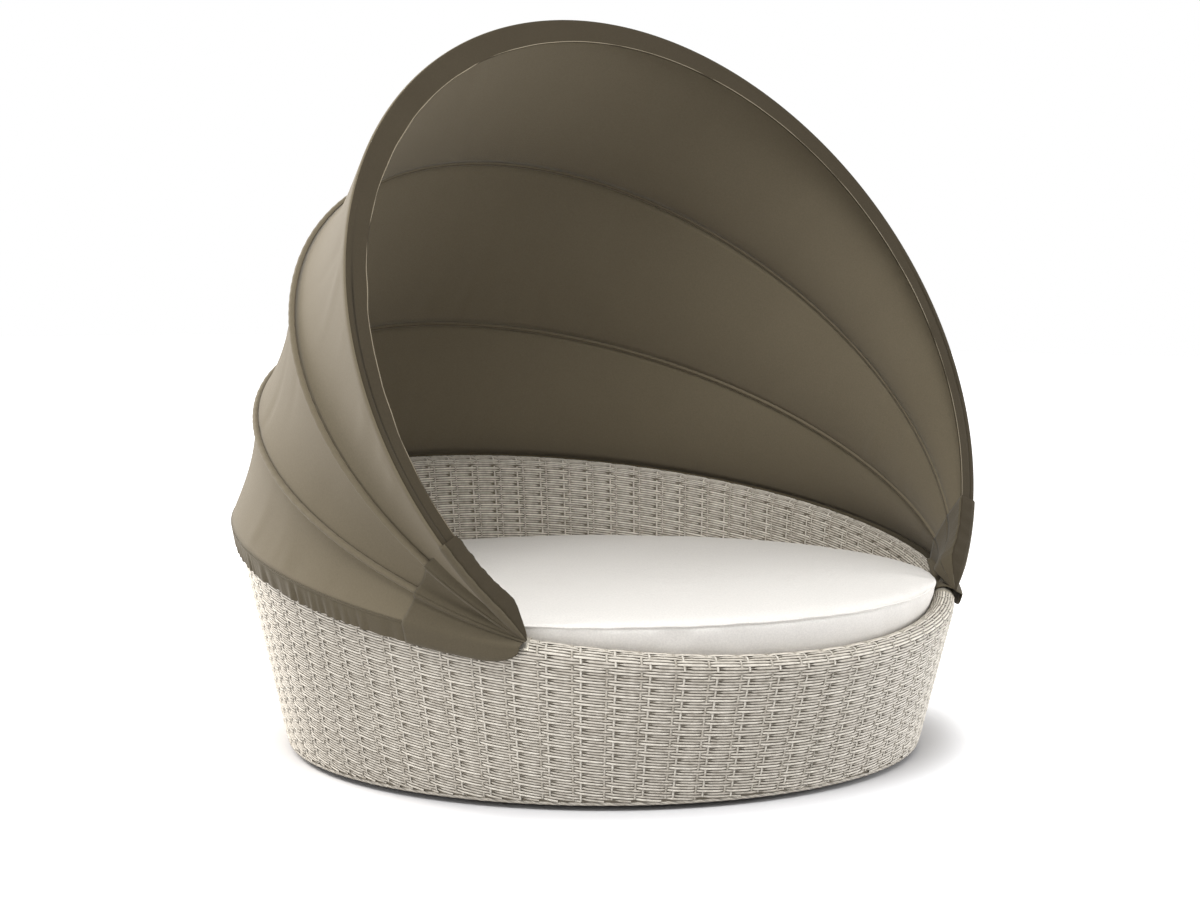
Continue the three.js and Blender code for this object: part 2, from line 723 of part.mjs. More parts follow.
function saddle(side) {
  const shares = Array.from({ length: 2 * rollSteps - 1 }, (_, k) => (k + 1) / rollSteps - 1);
  const middle = rimRollRadius + 2 * fit + saddleThickness / 2;
  const grid = [-1, 0, 1].map((step) => {
    const t = wallAngle(-footStep - step);
    return shares.map((share) => onSide(rollPoint(t, share, middle), side));
  });
  return thickSheet(grid, saddleThickness);
}

function rollCutter(side) {
  const route = Array.from({ length: 2 * cutterSteps + 1 }, (_, k) => (
    onSide(rimRoll(wallAngle(cutterSteps - footStep - k)).centre, side)
  ));
  const reach = (rimRollRadius + 2 * fit) / Math.cos(Math.PI / cutterSides);
  const section = new THREE.Shape(circlePoints(reach, cutterSides));
  const pieces = route.slice(1).map((end, k) => {
    const extra = end.clone().sub(route[k]).normalize().multiplyScalar(overrun);
    const path = new THREE.LineCurve3(route[k].clone().sub(extra), end.clone().add(extra));
    return new THREE.ExtrudeGeometry(section, { steps: 1, extrudePath: path });
  });
  return joined(pieces);
}

function makeBracket(side) {
  const hand = side > 0 ? 'right' : 'left';
  const bolt = hingeBolt('rear');
  const foot = rimRoll(-footAngle).centre;
  const eye = new THREE.Vector2(bolt.y, bolt.z);
  const outline = circlePoints(linkEyeRadius, boltSides).map((p) => p.add(eye));
  const low = new THREE.Vector2(foot.y, foot.z);
  const web = new THREE.Shape([
    new THREE.Vector2(low.x - bracketFootHalf, low.y),
    new THREE.Vector2(low.x + bracketFootHalf, low.y),
    new THREE.Vector2(eye.x + linkEyeRadius, eye.y),
    new THREE.Vector2(eye.x - linkEyeRadius, eye.y),
  ]);
  const toWorld = new THREE.Matrix4().makeBasis(point(0, 1, 0), point(0, 0, 1), point(1, 0, 0));
  toWorld.setPosition(side * layerCentre('bracket') - linkThickness / 2, 0, 0);
  const plates = [new THREE.Shape(outline), web].map((shape) => solidOf(plate(shape, toWorld)));
  const cheek = plates.reduce((sum, next) => sum.add(next));
  const cut = cheek.subtract(solidOf(rollCutter(side))).subtract(solidOf(boltHole('rear')));
  place(`rim_bracket_${hand}`, geometryOf(cut.add(solidOf(saddle(side)))), finishes.frame());
}

// Canopy cloth
const clothPhi = (k) => spread(bowStart, bowSteps, k);

// The hem's top and bottom edges follow the rim and close in on it towards both ends
const endShare = (t) => {
  const fromEnd = Math.min(t - phiAt(0, 0), Math.PI - phiAt(0, 0) - t);
  return THREE.MathUtils.smoothstep(fromEnd, 0, radians(bowDegrees.rear));
};

function hemPoint(t, share, ripple = 0) {
  const outward = wallInward(t).negate();
  const rise = hemRise * endShare(t);
  const drop = hemDrop * Math.min(1, endShare(t) * hemEndSharpness);
  const height = THREE.MathUtils.lerp(-drop, rise, share);
  const off = hemStandOff + clothThickness + ripple;
  return rimCorner(t).addScaledVector(wallDown(t), -height).addScaledVector(outward, off);
}

function lowerEdge(phi) {
  return hemPoint(phi, 1).add(point(0, 0, clothThickness / 2 + fit));
}

function sagged(low, high, share, phi, name) {
  const { along } = bowFrame(name);
  const inward = point(-Math.cos(phi), 0, 0).addScaledVector(along, -Math.sin(phi));
  const width = low.distanceTo(high);
  const depth = Math.min(panelSag, width * panelSagShare) * 4 * share * (1 - share);
  return low.clone().lerp(high, share).addScaledVector(inward, depth);
}

function panelGrid(lowAt, highAt, name, wrap) {
  return Array.from({ length: bowSteps + 1 }, (_, k) => {
    const phi = clothPhi(k);
    const row = Array.from({ length: panelColumns + 1 }, (__, j) => (
      sagged(lowAt(phi), highAt(phi), j / panelColumns, phi, name)
    ));
    if (wrap) row.push(bowPoint(name, phi, clothInset, wrap));
    return row;
  });
}

function makePanels() {
  const seam = bowTubeRadius + 3 * fit;
  const above = (name) => (phi) => bowPoint(name, phi, tubeInset, seam);
  const below = (name) => (phi) => bowPoint(name, phi, tubeInset, -seam);
  const outside = (phi) => bowPoint('front', phi, clothInset);
  const grids = {
    front_panel: panelGrid(above('middle'), outside, 'front', bowTubeRadius),
    middle_panel: panelGrid(above('rear'), below('middle'), 'middle', 0),
    rear_panel: panelGrid(lowerEdge, below('rear'), 'rear', 0),
  };
  Object.entries(grids).forEach(([name, grid]) => {
    place(name, thickSheet(grid, clothThickness), finishes.cloth());
  });
}

function makeFacing() {
  const lift = bowTubeRadius + fit + clothThickness / 2;
  const grid = Array.from({ length: bowSteps + 1 }, (_, k) => {
    const phi = clothPhi(k);
    const top = (Math.sin(phi) + 1) / 2;
    const width = THREE.MathUtils.lerp(facingEndWidth, facingTopWidth, top);
    return [bowPoint('front', phi, 0, lift), bowPoint('front', phi, width, lift)];
  });
  place('front_facing', thickSheet(grid, clothThickness), finishes.cloth());
}

function makeHem() {
  const start = phiAt(gussetStart, 0);
  const grid = Array.from({ length: hemSteps + 1 }, (_, k) => {
    const t = spread(start, hemSteps, k);
    const ripple = hemGather * (k % 2) * endShare(t);
    return [hemPoint(t, 0, ripple - hemGather), hemPoint(t, 1 / 2, ripple), hemPoint(t, 1)];
  });
  place('hem_band', thickSheet(grid, clothThickness), finishes.cloth());
}

// Gusset: the reinforced cloth over one canopy end, from the hem round the front bow
function makeGusset(side) {
  const hand = side > 0 ? 'right' : 'left';
  const first = phiAt(gussetStart, clothInset);
  const last = phiAt(clothStart - overrun, clothInset);
  const flapLift = bowTubeRadius + 2 * clothThickness;
  const grid = Array.from({ length: gussetRows + 1 }, (_, k) => {
    const phi = THREE.MathUtils.lerp(first, last, k / gussetRows);
    const row = [
      lowerEdge(phi),
      bowPoint('rear', phi, clothInset),
      bowPoint('middle', phi, clothInset),
      bowPoint('front', phi, clothInset),
      bowPoint('front', phi, clothInset, flapLift),
      bowPoint('front', phi, facingEndWidth / 2, flapLift + clothThickness),
      bowPoint('front', phi, facingEndWidth, flapLift + clothThickness),
    ];
    return row.map((p) => onSide(p, side));
  });
  place(`gusset_${hand}`, thickSheet(grid, clothThickness), finishes.cloth());
}

makeFloorBase();
makeChassis();
makeFrame();
makeDeck();
makeWovenWall();
makeMattress();
makeBow('rear', 'middle');
makeBow('middle', 'front');
makeBow('front', null);
[1, -1].forEach((side) => {
  makeBracket(side);
  makeHinge('rear', 'bracket', side);
  makeHinge('middle', 'rear', side);
  makeHinge('front', 'middle', side);
  makeGusset(side);
});
makePanels();
makeFacing();
makeHem();

export default daybed;
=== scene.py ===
# %% [markdown]
# # Round outdoor daybed with a folding canopy
# This notebook dresses a finished frame: the solids and their joints come ready made, and the pieces made
# here ride on the frame's bodies, all but the canopy panels, the gusset layers and the floor. Sizes are in
# metres, with +Z up and the open front towards -Y.

# %% Load the frame
import json
import math

import bmesh
import bpy
import numpy as np
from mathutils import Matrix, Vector


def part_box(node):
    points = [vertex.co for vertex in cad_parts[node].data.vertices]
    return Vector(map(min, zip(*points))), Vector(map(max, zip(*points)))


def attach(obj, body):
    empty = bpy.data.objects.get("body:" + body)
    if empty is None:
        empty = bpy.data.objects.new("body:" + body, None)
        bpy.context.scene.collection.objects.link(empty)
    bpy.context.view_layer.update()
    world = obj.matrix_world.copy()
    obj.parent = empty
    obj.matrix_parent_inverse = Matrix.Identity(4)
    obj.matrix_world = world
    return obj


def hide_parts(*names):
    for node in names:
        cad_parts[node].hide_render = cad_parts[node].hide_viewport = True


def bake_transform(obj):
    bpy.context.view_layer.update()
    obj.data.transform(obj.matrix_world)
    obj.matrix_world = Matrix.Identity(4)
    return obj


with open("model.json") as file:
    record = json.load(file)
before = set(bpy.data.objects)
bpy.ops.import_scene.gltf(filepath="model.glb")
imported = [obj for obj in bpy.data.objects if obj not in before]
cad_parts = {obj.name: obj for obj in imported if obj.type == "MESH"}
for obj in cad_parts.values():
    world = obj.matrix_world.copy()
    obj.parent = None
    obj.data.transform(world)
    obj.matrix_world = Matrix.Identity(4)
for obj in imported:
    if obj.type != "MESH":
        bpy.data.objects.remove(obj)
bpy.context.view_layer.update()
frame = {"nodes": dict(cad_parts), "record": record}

# %% [markdown]
# ## Camera
# A product picture of furniture is taken from about the eye height of someone who sits, from one side and
# with a long lens, so that the round rim stays calm. The camera is set by its place and direction, and not
# aimed at an object, because that keeps the framing when pieces change.

# %% Camera
camera = bpy.data.objects.new("camera", bpy.data.cameras.new("camera"))
camera.data.sensor_width = 36.0
camera.data.lens = 60.123
camera.location = (-2.89127, -3.96378, 1.06041)
camera.rotation_euler = Vector((0.58632, 0.80684, -0.07232)).to_track_quat("-Z", "Y").to_euler()
bpy.context.collection.objects.link(camera)
bpy.context.scene.camera = camera
print("camera lens", camera.data.lens, "mm")

# %% [markdown]
# ## Meshes from grids
# Woven strands and cloth are both long grids of points. One helper turns arrays of points and faces into a
# mesh in a single step, which is far quicker than adding vertices one by one, and another numbers the faces
# between the points of a grid.

# %% Mesh helpers
def mesh_piece(name, points, faces, smooth=True):
    faces = np.asarray(faces, np.int32)
    mesh = bpy.data.meshes.new(name)
    mesh.vertices.add(len(points))
    mesh.vertices.foreach_set("co", np.asarray(points, np.float32).ravel())
    mesh.loops.add(faces.size)
    mesh.loops.foreach_set("vertex_index", faces.ravel())
    mesh.polygons.add(len(faces))
    mesh.polygons.foreach_set("loop_start", np.arange(0, faces.size, faces.shape[1], dtype=np.int32))
    mesh.update(calc_edges=True)
    mesh.polygons.foreach_set("use_smooth", np.full(len(faces), smooth))
    piece = bpy.data.objects.new(name, mesh)
    bpy.context.collection.objects.link(piece)
    return piece


def grid_faces(rows, columns, closed_rows=False, closed_columns=False):
    across = np.arange(rows if closed_rows else rows - 1)
    down = np.arange(columns if closed_columns else columns - 1)
    i, j = (a.ravel() for a in np.meshgrid(across, down, indexing="ij"))
    i2, j2 = (i + 1) % rows, (j + 1) % columns
    return np.stack([i * columns + j, i2 * columns + j, i2 * columns + j2, i * columns + j2], 1)


def grid_piece(name, grid, *closed):
    return mesh_piece(name, grid.reshape(-1, 3), grid_faces(*grid.shape[:2], *closed))


def add_number(piece, name, values):
    layer = piece.data.attributes.new(name, "FLOAT", "POINT")
    layer.data.foreach_set("value", np.asarray(values, np.float32).ravel())


def unit(v):
    return v / np.linalg.norm(v, axis=-1, keepdims=True)


def dot(a, b):
    return np.sum(a * b, axis=-1, keepdims=True)


print("helpers ready")

# %% [markdown]
# ## The drum's surface
# The drum is a basket: a level circle at the floor, a larger and tilted circle at the rim, straight lines
# between them, a rolled rim, and a second wall inside that runs down to the seat board. Every strand has to
# lie on this surface, so it is written as a function of the way round and the way along the section.

# %% Drum measures
BOTTOM_RADIUS = 0.7686
RIM_RADIUS = 0.880
RIM_TILT = math.radians(10.56)
RIM_CENTRE = np.array([0.0, 0.0229, 0.4789])
FLOOR_GAP = 0.012
ROLL_RADIUS = 0.026
WALL_OFF_DECK = 0.002
DECK_WALL_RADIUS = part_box("seat_deck")[1].x + WALL_OFF_DECK
DECK_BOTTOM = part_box("seat_deck")[0].z


def on_circle(t, radius, height):
    return np.stack([radius * np.cos(t), radius * np.sin(t), np.full_like(t, height)], -1)


def rim_outward(t):
    lean = np.sin(t)
    return np.stack([np.cos(t), lean * math.cos(RIM_TILT), lean * math.sin(RIM_TILT)], -1)


def turn_between(a, b, share):
    angle = np.arccos(np.clip(dot(a, b), -1, 1))
    return (a * np.sin((1 - share) * angle) + b * np.sin(share * angle)) / np.sin(angle)


print("seat board's radius with room for the wall:", round(DECK_WALL_RADIUS, 4))

# %% Drum sections
def drum_frame(t):
    """Places and directions of the section at t: the rim's corner, the roll, and where both walls start."""
    out = rim_outward(t)
    corner = RIM_CENTRE + RIM_RADIUS * out
    low = on_circle(t, BOTTOM_RADIUS, FLOOR_GAP)
    down = unit(low - corner)
    inward = -out
    half = np.arccos(dot(inward, down)) / 2
    centre = corner + unit(down + inward) * ROLL_RADIUS / np.sin(half)
    outside = -unit(inward - down * dot(inward, down))
    top = -unit(down - inward * dot(down, inward))
    deck = on_circle(t, DECK_WALL_RADIUS, DECK_BOTTOM)
    reach = np.linalg.norm(deck - centre, axis=-1, keepdims=True)
    to_deck = (deck - centre) / reach
    side = unit(inward - to_deck * dot(inward, to_deck))
    lean = ROLL_RADIUS / reach
    inside = side * np.sqrt(1 - lean * lean) + to_deck * lean
    start = centre + outside * ROLL_RADIUS
    return dict(corner=corner, down=down, centre=centre, outside=outside, top=top, inside=inside,
                start=start, end=centre + inside * ROLL_RADIUS, deck=deck,
                wall=np.linalg.norm(low - start, axis=-1))


probe = np.radians([-90.0, 0.0, 90.0])
print("wall length at the front, side and back:", np.round(drum_frame(probe)["wall"], 3))

# %% Drum surfaces
def outer_wall(t, depth, lift):
    f = drum_frame(t)
    return f["start"] + f["down"] * depth[..., None] + f["outside"] * lift[..., None]


def roll_surface(t, share, lift):
    f = drum_frame(t)
    share = share[..., None]
    first = turn_between(f["outside"], f["top"], np.clip(share * 2, 1e-4, 1 - 1e-4))
    second = turn_between(f["top"], f["inside"], np.clip(share * 2 - 1, 1e-4, 1 - 1e-4))
    direction = np.where(share < 0.5, first, second)
    return f["centre"] + direction * (ROLL_RADIUS + lift[..., None])


def inner_wall(t, depth, lift):
    f = drum_frame(t)
    along = unit(f["deck"] - f["end"])
    return f["end"] + along * depth[..., None] + f["inside"] * lift[..., None]


rim_top_heights = roll_surface(probe, 0 * probe + 0.5, 0 * probe)[:, 2]
print("rim's top at the front, side and back:", np.round(rim_top_heights, 3))

# %% [markdown]
# ## Weaving
# The wicker is woven from flat resin strands: upright stakes, and rows that run round parallel to the rim.
# A picture or a bump map would fall flat at the rim's edge and against the light, so every strand is a real
# ribbon. Each row passes in front of most stakes and dips behind one in four. The stake moves on from row
# to row, and two rows dip behind the same one. That makes the small bright uprights with a dark hole beside
# them that repeat over the whole basket. The hole's darkness is painted shade on the backing, and the rows
# and stakes carry painted light and shade: lighter where they stand proud, darker where they lie back. A
# little drift and scatter keeps the pattern from looking printed.

# %% The weave's pattern
UNITS_ROUND = 76
STAKES = UNITS_ROUND * 4
ROW_PITCH = 0.0065
STRAND_WIDTH = 0.0056
STAKE_WIDTH = 0.0056
STRAND_LIFT = 0.0010
SKIN_LIFT = 0.0013
STAKE_PROUD = 0.0002
ROLL_ROWS = 13
# The stake that each of four rows passes behind, out of every four stakes
DIP_STAKES = np.array([0, 0, 3, 3])
# Places along one unit of four stakes, and for each of the four rows how far it dips, how broad it is and
# how proud it stands there: a row that dips is pinched beside its stake, which opens the small hole onto the
# backing's painted shade
UNIT_PLACES = np.array([0, 0.30, 0.52, 1, 1.5, 2, 2.5, 3, 3.5])
UNIT_DIPS = np.array([[1, 0.7, 0.3, 0, 0, 0, 0, 0, 0.5],
                      [1, 1, 0.7, 0, 0, 0, 0, 0, 0.5],
                      [0, 0, 0, 0, 0, 0, 0.5, 1, 0.5],
                      [0, 0, 0, 0, 0, 0, 0.4, 1, 0.6]])
UNIT_WIDTHS = np.array([[0.8, 0.8, 0.9, 1, 1, 1, 1, 1, 0.9],
                        [0.8, 0.18, 0.25, 0.95, 1, 1, 1, 1, 0.9],
                        [1, 1, 1, 1, 1, 1, 0.95, 0.75, 1],
                        [1, 1, 1, 1, 1, 1, 0.9, 0.7, 0.9]])
UNIT_RISE = 0.0012
UNIT_RISES = UNIT_RISE * np.array([[0, 0, 0, 0.4, 0, 0.35, 0, 0.3, 0],
                                   [0, 0, 0, 0.45, 0.1, 0.4, 0, 0.3, 0],
                                   [0.6, 0.6, 0.6, 0.65, 0.55, 0.6, 0.4, 0, 0.4],
                                   [0.3, 0.2, 0.1, 0.3, 0, 0.3, 0, 0, 0.2]])
# Places across a ribbon, from -1 to 1, and how proud it stands there
ROW_CROWN = ((-1, -0.0012), (-0.45, 0.0002), (0.2, 0.0003), (1, -0.0017))
STAKE_CROWN = ((-1, -0.0008), (-0.4, 0.0003), (0.4, 0.0003), (1, -0.0008))
# Painted light and shade per row and per stake: lighter on the proud row, darker on the recessed ones
ROW_LIGHT_AND_SHADE = np.array([0.56, 0.40, 0.84, 0.58])
STAKE_LIGHT_AND_SHADE = np.array([0.58, 0.64, 0.06, 0.12])
ROW_SCATTER = 0.12
STAKE_SCATTER = 0.15
ROW_WOBBLE = 0.00014
ROW_DRIFT = 0.0006
FIRST_TINTED = -150
TINTED_ROWS = 400
rng = np.random.default_rng(7)
row_tint = rng.uniform(-ROW_SCATTER, ROW_SCATTER, TINTED_ROWS)
sample_angle = ((np.arange(UNITS_ROUND)[:, None] * 4 + UNIT_PLACES) * math.tau / STAKES).ravel()
print("stakes round the rim:", STAKES, "pitch", round(math.tau * RIM_RADIUS / STAKES * 1000, 1), "mm")

# %% Rows as ribbons
def drift_at(rows):
    """How far the pattern has slipped round, in radians: a little more with every row down the outer wall."""
    return ROW_DRIFT * np.minimum(rows, 0)


def along_rows(rows, table):
    return np.tile(table[rows % 4], (1, UNITS_ROUND))


def ribbons(points, faces, crown, tone_and_shade):
    """The points that faces use, the faces renumbered, and for each point its place across and its tone with
    painted light and shade.
    """
    across = np.broadcast_to([place for place, _ in crown], points.shape[:3])
    tone_and_shade = np.broadcast_to(tone_and_shade[..., None], points.shape[:3])
    used, faces = np.unique(faces, return_inverse=True)
    return points.reshape(-1, 3)[used], faces.reshape(-1, 4), across.ravel()[used], tone_and_shade.ravel()[used]


def weave_rows(surface, rows, depth_of, keep):
    """Ribbons that run round: surface gives places, depth_of the way along the section, keep what shows."""
    dip, broad, rise = (along_rows(rows, table) for table in (UNIT_DIPS, UNIT_WIDTHS, UNIT_RISES))
    t = sample_angle + drift_at(rows)[:, None]
    depth, step = depth_of(rows[:, None], t)
    width = 0.5 * step * (STRAND_WIDTH / ROW_PITCH) * broad
    lift = SKIN_LIFT + STRAND_LIFT * (1 - 2 * dip) + rise + rng.normal(0, ROW_WOBBLE, dip.shape)
    points = [surface(t, depth + across * width, lift + crown) for across, crown in ROW_CROWN]
    index = np.arange(dip.size * 4).reshape(*dip.shape, 4)
    after = np.roll(index, -1, 1)
    shown = keep(rows[:, None], t)
    shown = shown & np.roll(shown, -1, 1)
    faces = []
    for k in range(3):
        quads = [index[:, :, k], after[:, :, k], after[:, :, k + 1], index[:, :, k + 1]]
        faces.append(np.stack(quads, -1)[shown])
    tone_and_shade = (ROW_LIGHT_AND_SHADE[rows % 4] + row_tint[rows - FIRST_TINTED])[:, None]
    return ribbons(np.stack(points, 2), np.concatenate(faces), ROW_CROWN, tone_and_shade)


print("points along a row:", len(sample_angle), "and across it:", len(ROW_CROWN))

# %% [markdown]
# ## Materials from small groups
# The same effects return in several finishes: patches of slightly different colour, the fibres of a strand
# and the threads of a cloth. Each is a node group with named inputs that gives back only a colour, a mask
# or a height, and each material joins them to its own shader.

# %% Shader helpers
def linear(red, green, blue):
    values = [c / 255 for c in (red, green, blue)]
    return tuple(c / 12.92 if c <= 0.04045 else ((c + 0.055) / 1.055) ** 2.4 for c in values) + (1.0,)


def add_node(tree, kind, sockets=None, **settings):
    made = tree.nodes.new("ShaderNode" + kind)
    for name, value in settings.items():
        setattr(made, name, value)
    for name, value in (sockets or {}).items():
        if isinstance(value, bpy.types.NodeSocket):
            tree.links.new(value, made.inputs[name])
        else:
            made.inputs[name].default_value = value
    return made


def calculate(tree, operation, *values):
    made = add_node(tree, "Math", dict(enumerate(values)), operation=operation)
    return made.outputs[0]


def mix_colour(tree, share, first, second, blend="MIX"):
    made = add_node(tree, "Mix", {0: share, 6: first, 7: second}, data_type="RGBA", blend_type=blend)
    return made.outputs[2]


print("white is", linear(255, 255, 255), "and middle grey", round(linear(128, 128, 128)[0], 3))

# %% Groups and materials
def new_group(name, inputs, outputs):
    tree = bpy.data.node_groups.new(name, "ShaderNodeTree")
    for label, kind, value in inputs:
        socket = tree.interface.new_socket(label, in_out="INPUT", socket_type="NodeSocket" + kind)
        if value is not None:
            socket.default_value = value
    for label, kind in outputs:
        tree.interface.new_socket(label, in_out="OUTPUT", socket_type="NodeSocket" + kind)
    return tree, tree.nodes.new("NodeGroupInput").outputs, tree.nodes.new("NodeGroupOutput").inputs


def use_group(tree, group, **inputs):
    made = tree.nodes.new("ShaderNodeGroup")
    made.node_tree = group
    for name, value in inputs.items():
        socket = made.inputs[name.replace("_", " ")]
        if isinstance(value, bpy.types.NodeSocket):
            tree.links.new(value, socket)
        else:
            socket.default_value = value
    return made.outputs


def new_material(name, **settings):
    material = bpy.data.materials.new(name)
    material.use_nodes = True
    tree = material.node_tree
    shader = tree.nodes["Principled BSDF"]
    for label, value in settings.items():
        shader.inputs[label.replace("_", " ")].default_value = value
    return material, tree, shader


def finish_material(tree, shader, colour=None, roughness=None, height=None, distance=0.001, strength=1.0):
    if colour is not None:
        tree.links.new(colour, shader.inputs["Base Color"])
    if roughness is not None:
        tree.links.new(roughness, shader.inputs["Roughness"])
    if height is not None:
        bump = add_node(tree, "Bump", {"Strength": strength, "Distance": distance, "Height": height})
        tree.links.new(bump.outputs["Normal"], shader.inputs["Normal"])


print("group and material helpers ready")

# %% [markdown]
# ## Colour patches, strand fibres and cloth threads
# Resin wicker is drawn as a flat strand with fine lines along it and a colour that changes a little from
# strand to strand. Each strand also carries painted shade: it darkens towards its edges and over one half,
# the lower one on the walls, where it curls under and the next row shades it. Outdoor cloth and canvas show
# two crossing sets of threads. Patches and threads come from the place on the object, so no picture is
# needed and neighbouring pieces never repeat the same patch. The lines and the painted shade of a strand
# follow a number that each ribbon carries across its width.

# %% Colour patches
patches, asked, given = new_group(
    "Colour patches",
    [("Light", "Color", (0.8, 0.8, 0.8, 1)), ("Dark", "Color", (0.5, 0.5, 0.5, 1)), ("Scale", "Float", 8.0),
     ("Contrast", "Float", 1.0), ("Shift", "Float", 0.0)],
    [("Colour", "Color"), ("Mask", "Float")])
place_on = add_node(patches, "TexCoord").outputs["Object"]
blotches = add_node(patches, "TexNoise", {"Vector": place_on, "Scale": asked["Scale"], "Detail": 5.0})
centred = calculate(patches, "SUBTRACT", blotches.outputs[0], 0.5)
spread_out = calculate(patches, "MULTIPLY_ADD", centred, asked["Contrast"], 0.5)
mask = calculate(patches, "ADD", spread_out, asked["Shift"])
patches.links.new(mask, given["Mask"])
patches.links.new(mix_colour(patches, mask, asked["Dark"], asked["Light"]), given["Colour"])
print("nodes in the patches:", len(patches.nodes))

# %% Strand fibres
fibres, asked, given = new_group(
    "Strand fibres",
    [("Across", "Float", 0.0), ("Lines", "Float", 9.0), ("Edge", "Float", 0.35)],
    [("Height", "Float"), ("Shade", "Float")])
place_on = add_node(fibres, "TexCoord").outputs["Object"]
drift = add_node(fibres, "TexNoise", {"Vector": place_on, "Scale": 45.0, "Detail": 3.0}).outputs[0]
shifted = calculate(fibres, "MULTIPLY_ADD", drift, 0.35, asked["Across"])
lines = calculate(fibres, "SINE", calculate(fibres, "MULTIPLY", shifted, asked["Lines"]))
# Painted shade: the strand is darkened towards both edges and, more strongly, over one half, the lower one on
# the walls
edge = calculate(fibres, "POWER", calculate(fibres, "ABSOLUTE", asked["Across"]), 3.0)
painted_under_shade = add_node(fibres, "MapRange", {"Value": asked["Across"], "From Min": 0.1, "From Max": 0.9,
                                      "To Max": 0.55}).outputs["Result"]
painted_edge_shade = calculate(fibres, "MAXIMUM", calculate(fibres, "MULTIPLY", edge, asked["Edge"]), painted_under_shade)
fibres.links.new(lines, given["Height"])
fibres.links.new(calculate(fibres, "SUBTRACT", 1.0, painted_edge_shade), given["Shade"])
print("nodes in the fibres:", len(fibres.nodes))

# %% Cloth threads
threads, asked, given = new_group(
    "Cloth threads", [("Scale", "Float", 400.0), ("Slub", "Float", 0.4)], [("Height", "Float")])
place_on = add_node(threads, "TexCoord").outputs["Object"]
sets = []
for direction in ("X", "Z"):
    wave = add_node(threads, "TexWave", {"Vector": place_on, "Scale": asked["Scale"], "Distortion": 0.4},
                    wave_type="BANDS", bands_direction=direction)
    sets.append(wave.outputs["Fac"])
woven = calculate(threads, "MAXIMUM", *sets)
slubs = add_node(threads, "TexNoise", {"Vector": place_on, "Scale": 160.0, "Detail": 4.0}).outputs[0]
threads.links.new(calculate(threads, "MULTIPLY_ADD", slubs, asked["Slub"], woven), given["Height"])
print("groups:", sorted(group.name for group in bpy.data.node_groups))

# %% [markdown]
# ## Finishes
# The strand is resin: fairly rough, with a soft highlight. The canopy is a coated canvas and the mattress
# cover a fine outdoor weave, both matte with a little sheen. The frame is powder coated and its bolts are
# plated. Feet, slide ring and seat board are plain, with a slight grain. None of these is a clean even
# colour on the real object, so each finish wanders slowly between a light and a dark tone.

# %% Kinds of finish
def strand_material(name, light, dark):
    material, tree, shader = new_material(name)
    across = add_node(tree, "Attribute", attribute_name="across").outputs["Fac"]
    tone_and_shade = add_node(tree, "Attribute", attribute_name="tone_and_shade").outputs["Fac"]
    shift = calculate(tree, "MULTIPLY_ADD", tone_and_shade, 0.9, -0.45)
    colour = use_group(tree, patches, Light=light, Dark=dark, Scale=70.0, Contrast=1.3, Shift=shift)
    fibre = use_group(tree, fibres, Across=across, Lines=9.0, Edge=0.45)
    # The fibres' Shade output is painted shade, multiplied into the strand's colour
    grey = add_node(tree, "CombineColor", {channel: fibre["Shade"] for channel in range(3)}).outputs[0]
    shaded = mix_colour(tree, 1.0, colour["Colour"], grey, "MULTIPLY")
    rough = calculate(tree, "MULTIPLY_ADD", colour["Mask"], 0.12, 0.42)
    finish_material(tree, shader, shaded, rough, fibre["Height"], distance=0.0003, strength=0.5)
    return material


def moulded_material(name, light, dark, roughness, metallic=0.0, scale=30.0, grain=900.0):
    material, tree, shader = new_material(name, Metallic=metallic)
    colour = use_group(tree, patches, Light=light, Dark=dark, Scale=scale, Contrast=0.8)
    place_on = add_node(tree, "TexCoord").outputs["Object"]
    fine = add_node(tree, "TexNoise", {"Vector": place_on, "Scale": grain, "Detail": 2.0}).outputs[0]
    rough = calculate(tree, "MULTIPLY_ADD", colour["Mask"], 0.15, roughness)
    finish_material(tree, shader, colour["Colour"], rough, fine, distance=0.0002, strength=0.4)
    return material


def cloth_material(name, light, dark, scale, sheen, contrast=0.7, thread=420.0, depth=0.0002):
    material, tree, shader = new_material(name, Roughness=0.85, Specular_IOR_Level=0.15, Sheen_Weight=sheen,
                                          Sheen_Roughness=0.5)
    colour = use_group(tree, patches, Light=light, Dark=dark, Scale=scale, Contrast=contrast)
    weave = use_group(tree, threads, Scale=thread, Slub=0.5)
    fine = use_group(tree, patches, Light=(1, 1, 1, 1), Dark=(0.86, 0.86, 0.86, 1), Scale=260.0,
                     Contrast=2.0)
    shaded = mix_colour(tree, 1.0, colour["Colour"], fine["Colour"], "MULTIPLY")
    finish_material(tree, shader, shaded, height=weave["Height"], distance=depth, strength=0.5)
    return material


print("kinds of finish: strand, moulded and cloth")

# %% Finishes
wicker = strand_material("Wicker strand", linear(233, 226, 213), linear(160, 151, 137))
wicker_stake = strand_material("Wicker stake", linear(232, 226, 214), linear(170, 162, 148))
# Painted shade: the backing under the strands is a dark sheet for the shaded depth of the weave between them
backing_painted_shade = moulded_material("Wicker backing painted shade", linear(118, 110, 96), linear(86, 79, 68), 0.8)
canvas = cloth_material("Canopy canvas", linear(114, 105, 87), linear(104, 95, 77), 3.0, 0.12)
# Painted shade: the hem and the gussets are darker than the canvas, for the shade that falls on them
canvas_band_shade = cloth_material("Canopy band painted shade", linear(94, 86, 70), linear(84, 76, 60), 5.0, 0.1)
# Painted shade: the front band and the gusset flaps are far darker than the canvas, for the shade under the
# front edge
canvas_facing_shade = cloth_material("Canopy facing painted shade", linear(66, 59, 46), linear(58, 51, 39), 6.0, 0.0)
canvas_piping = cloth_material("Canopy piping", linear(138, 128, 108), linear(122, 112, 93), 9.0, 0.2)
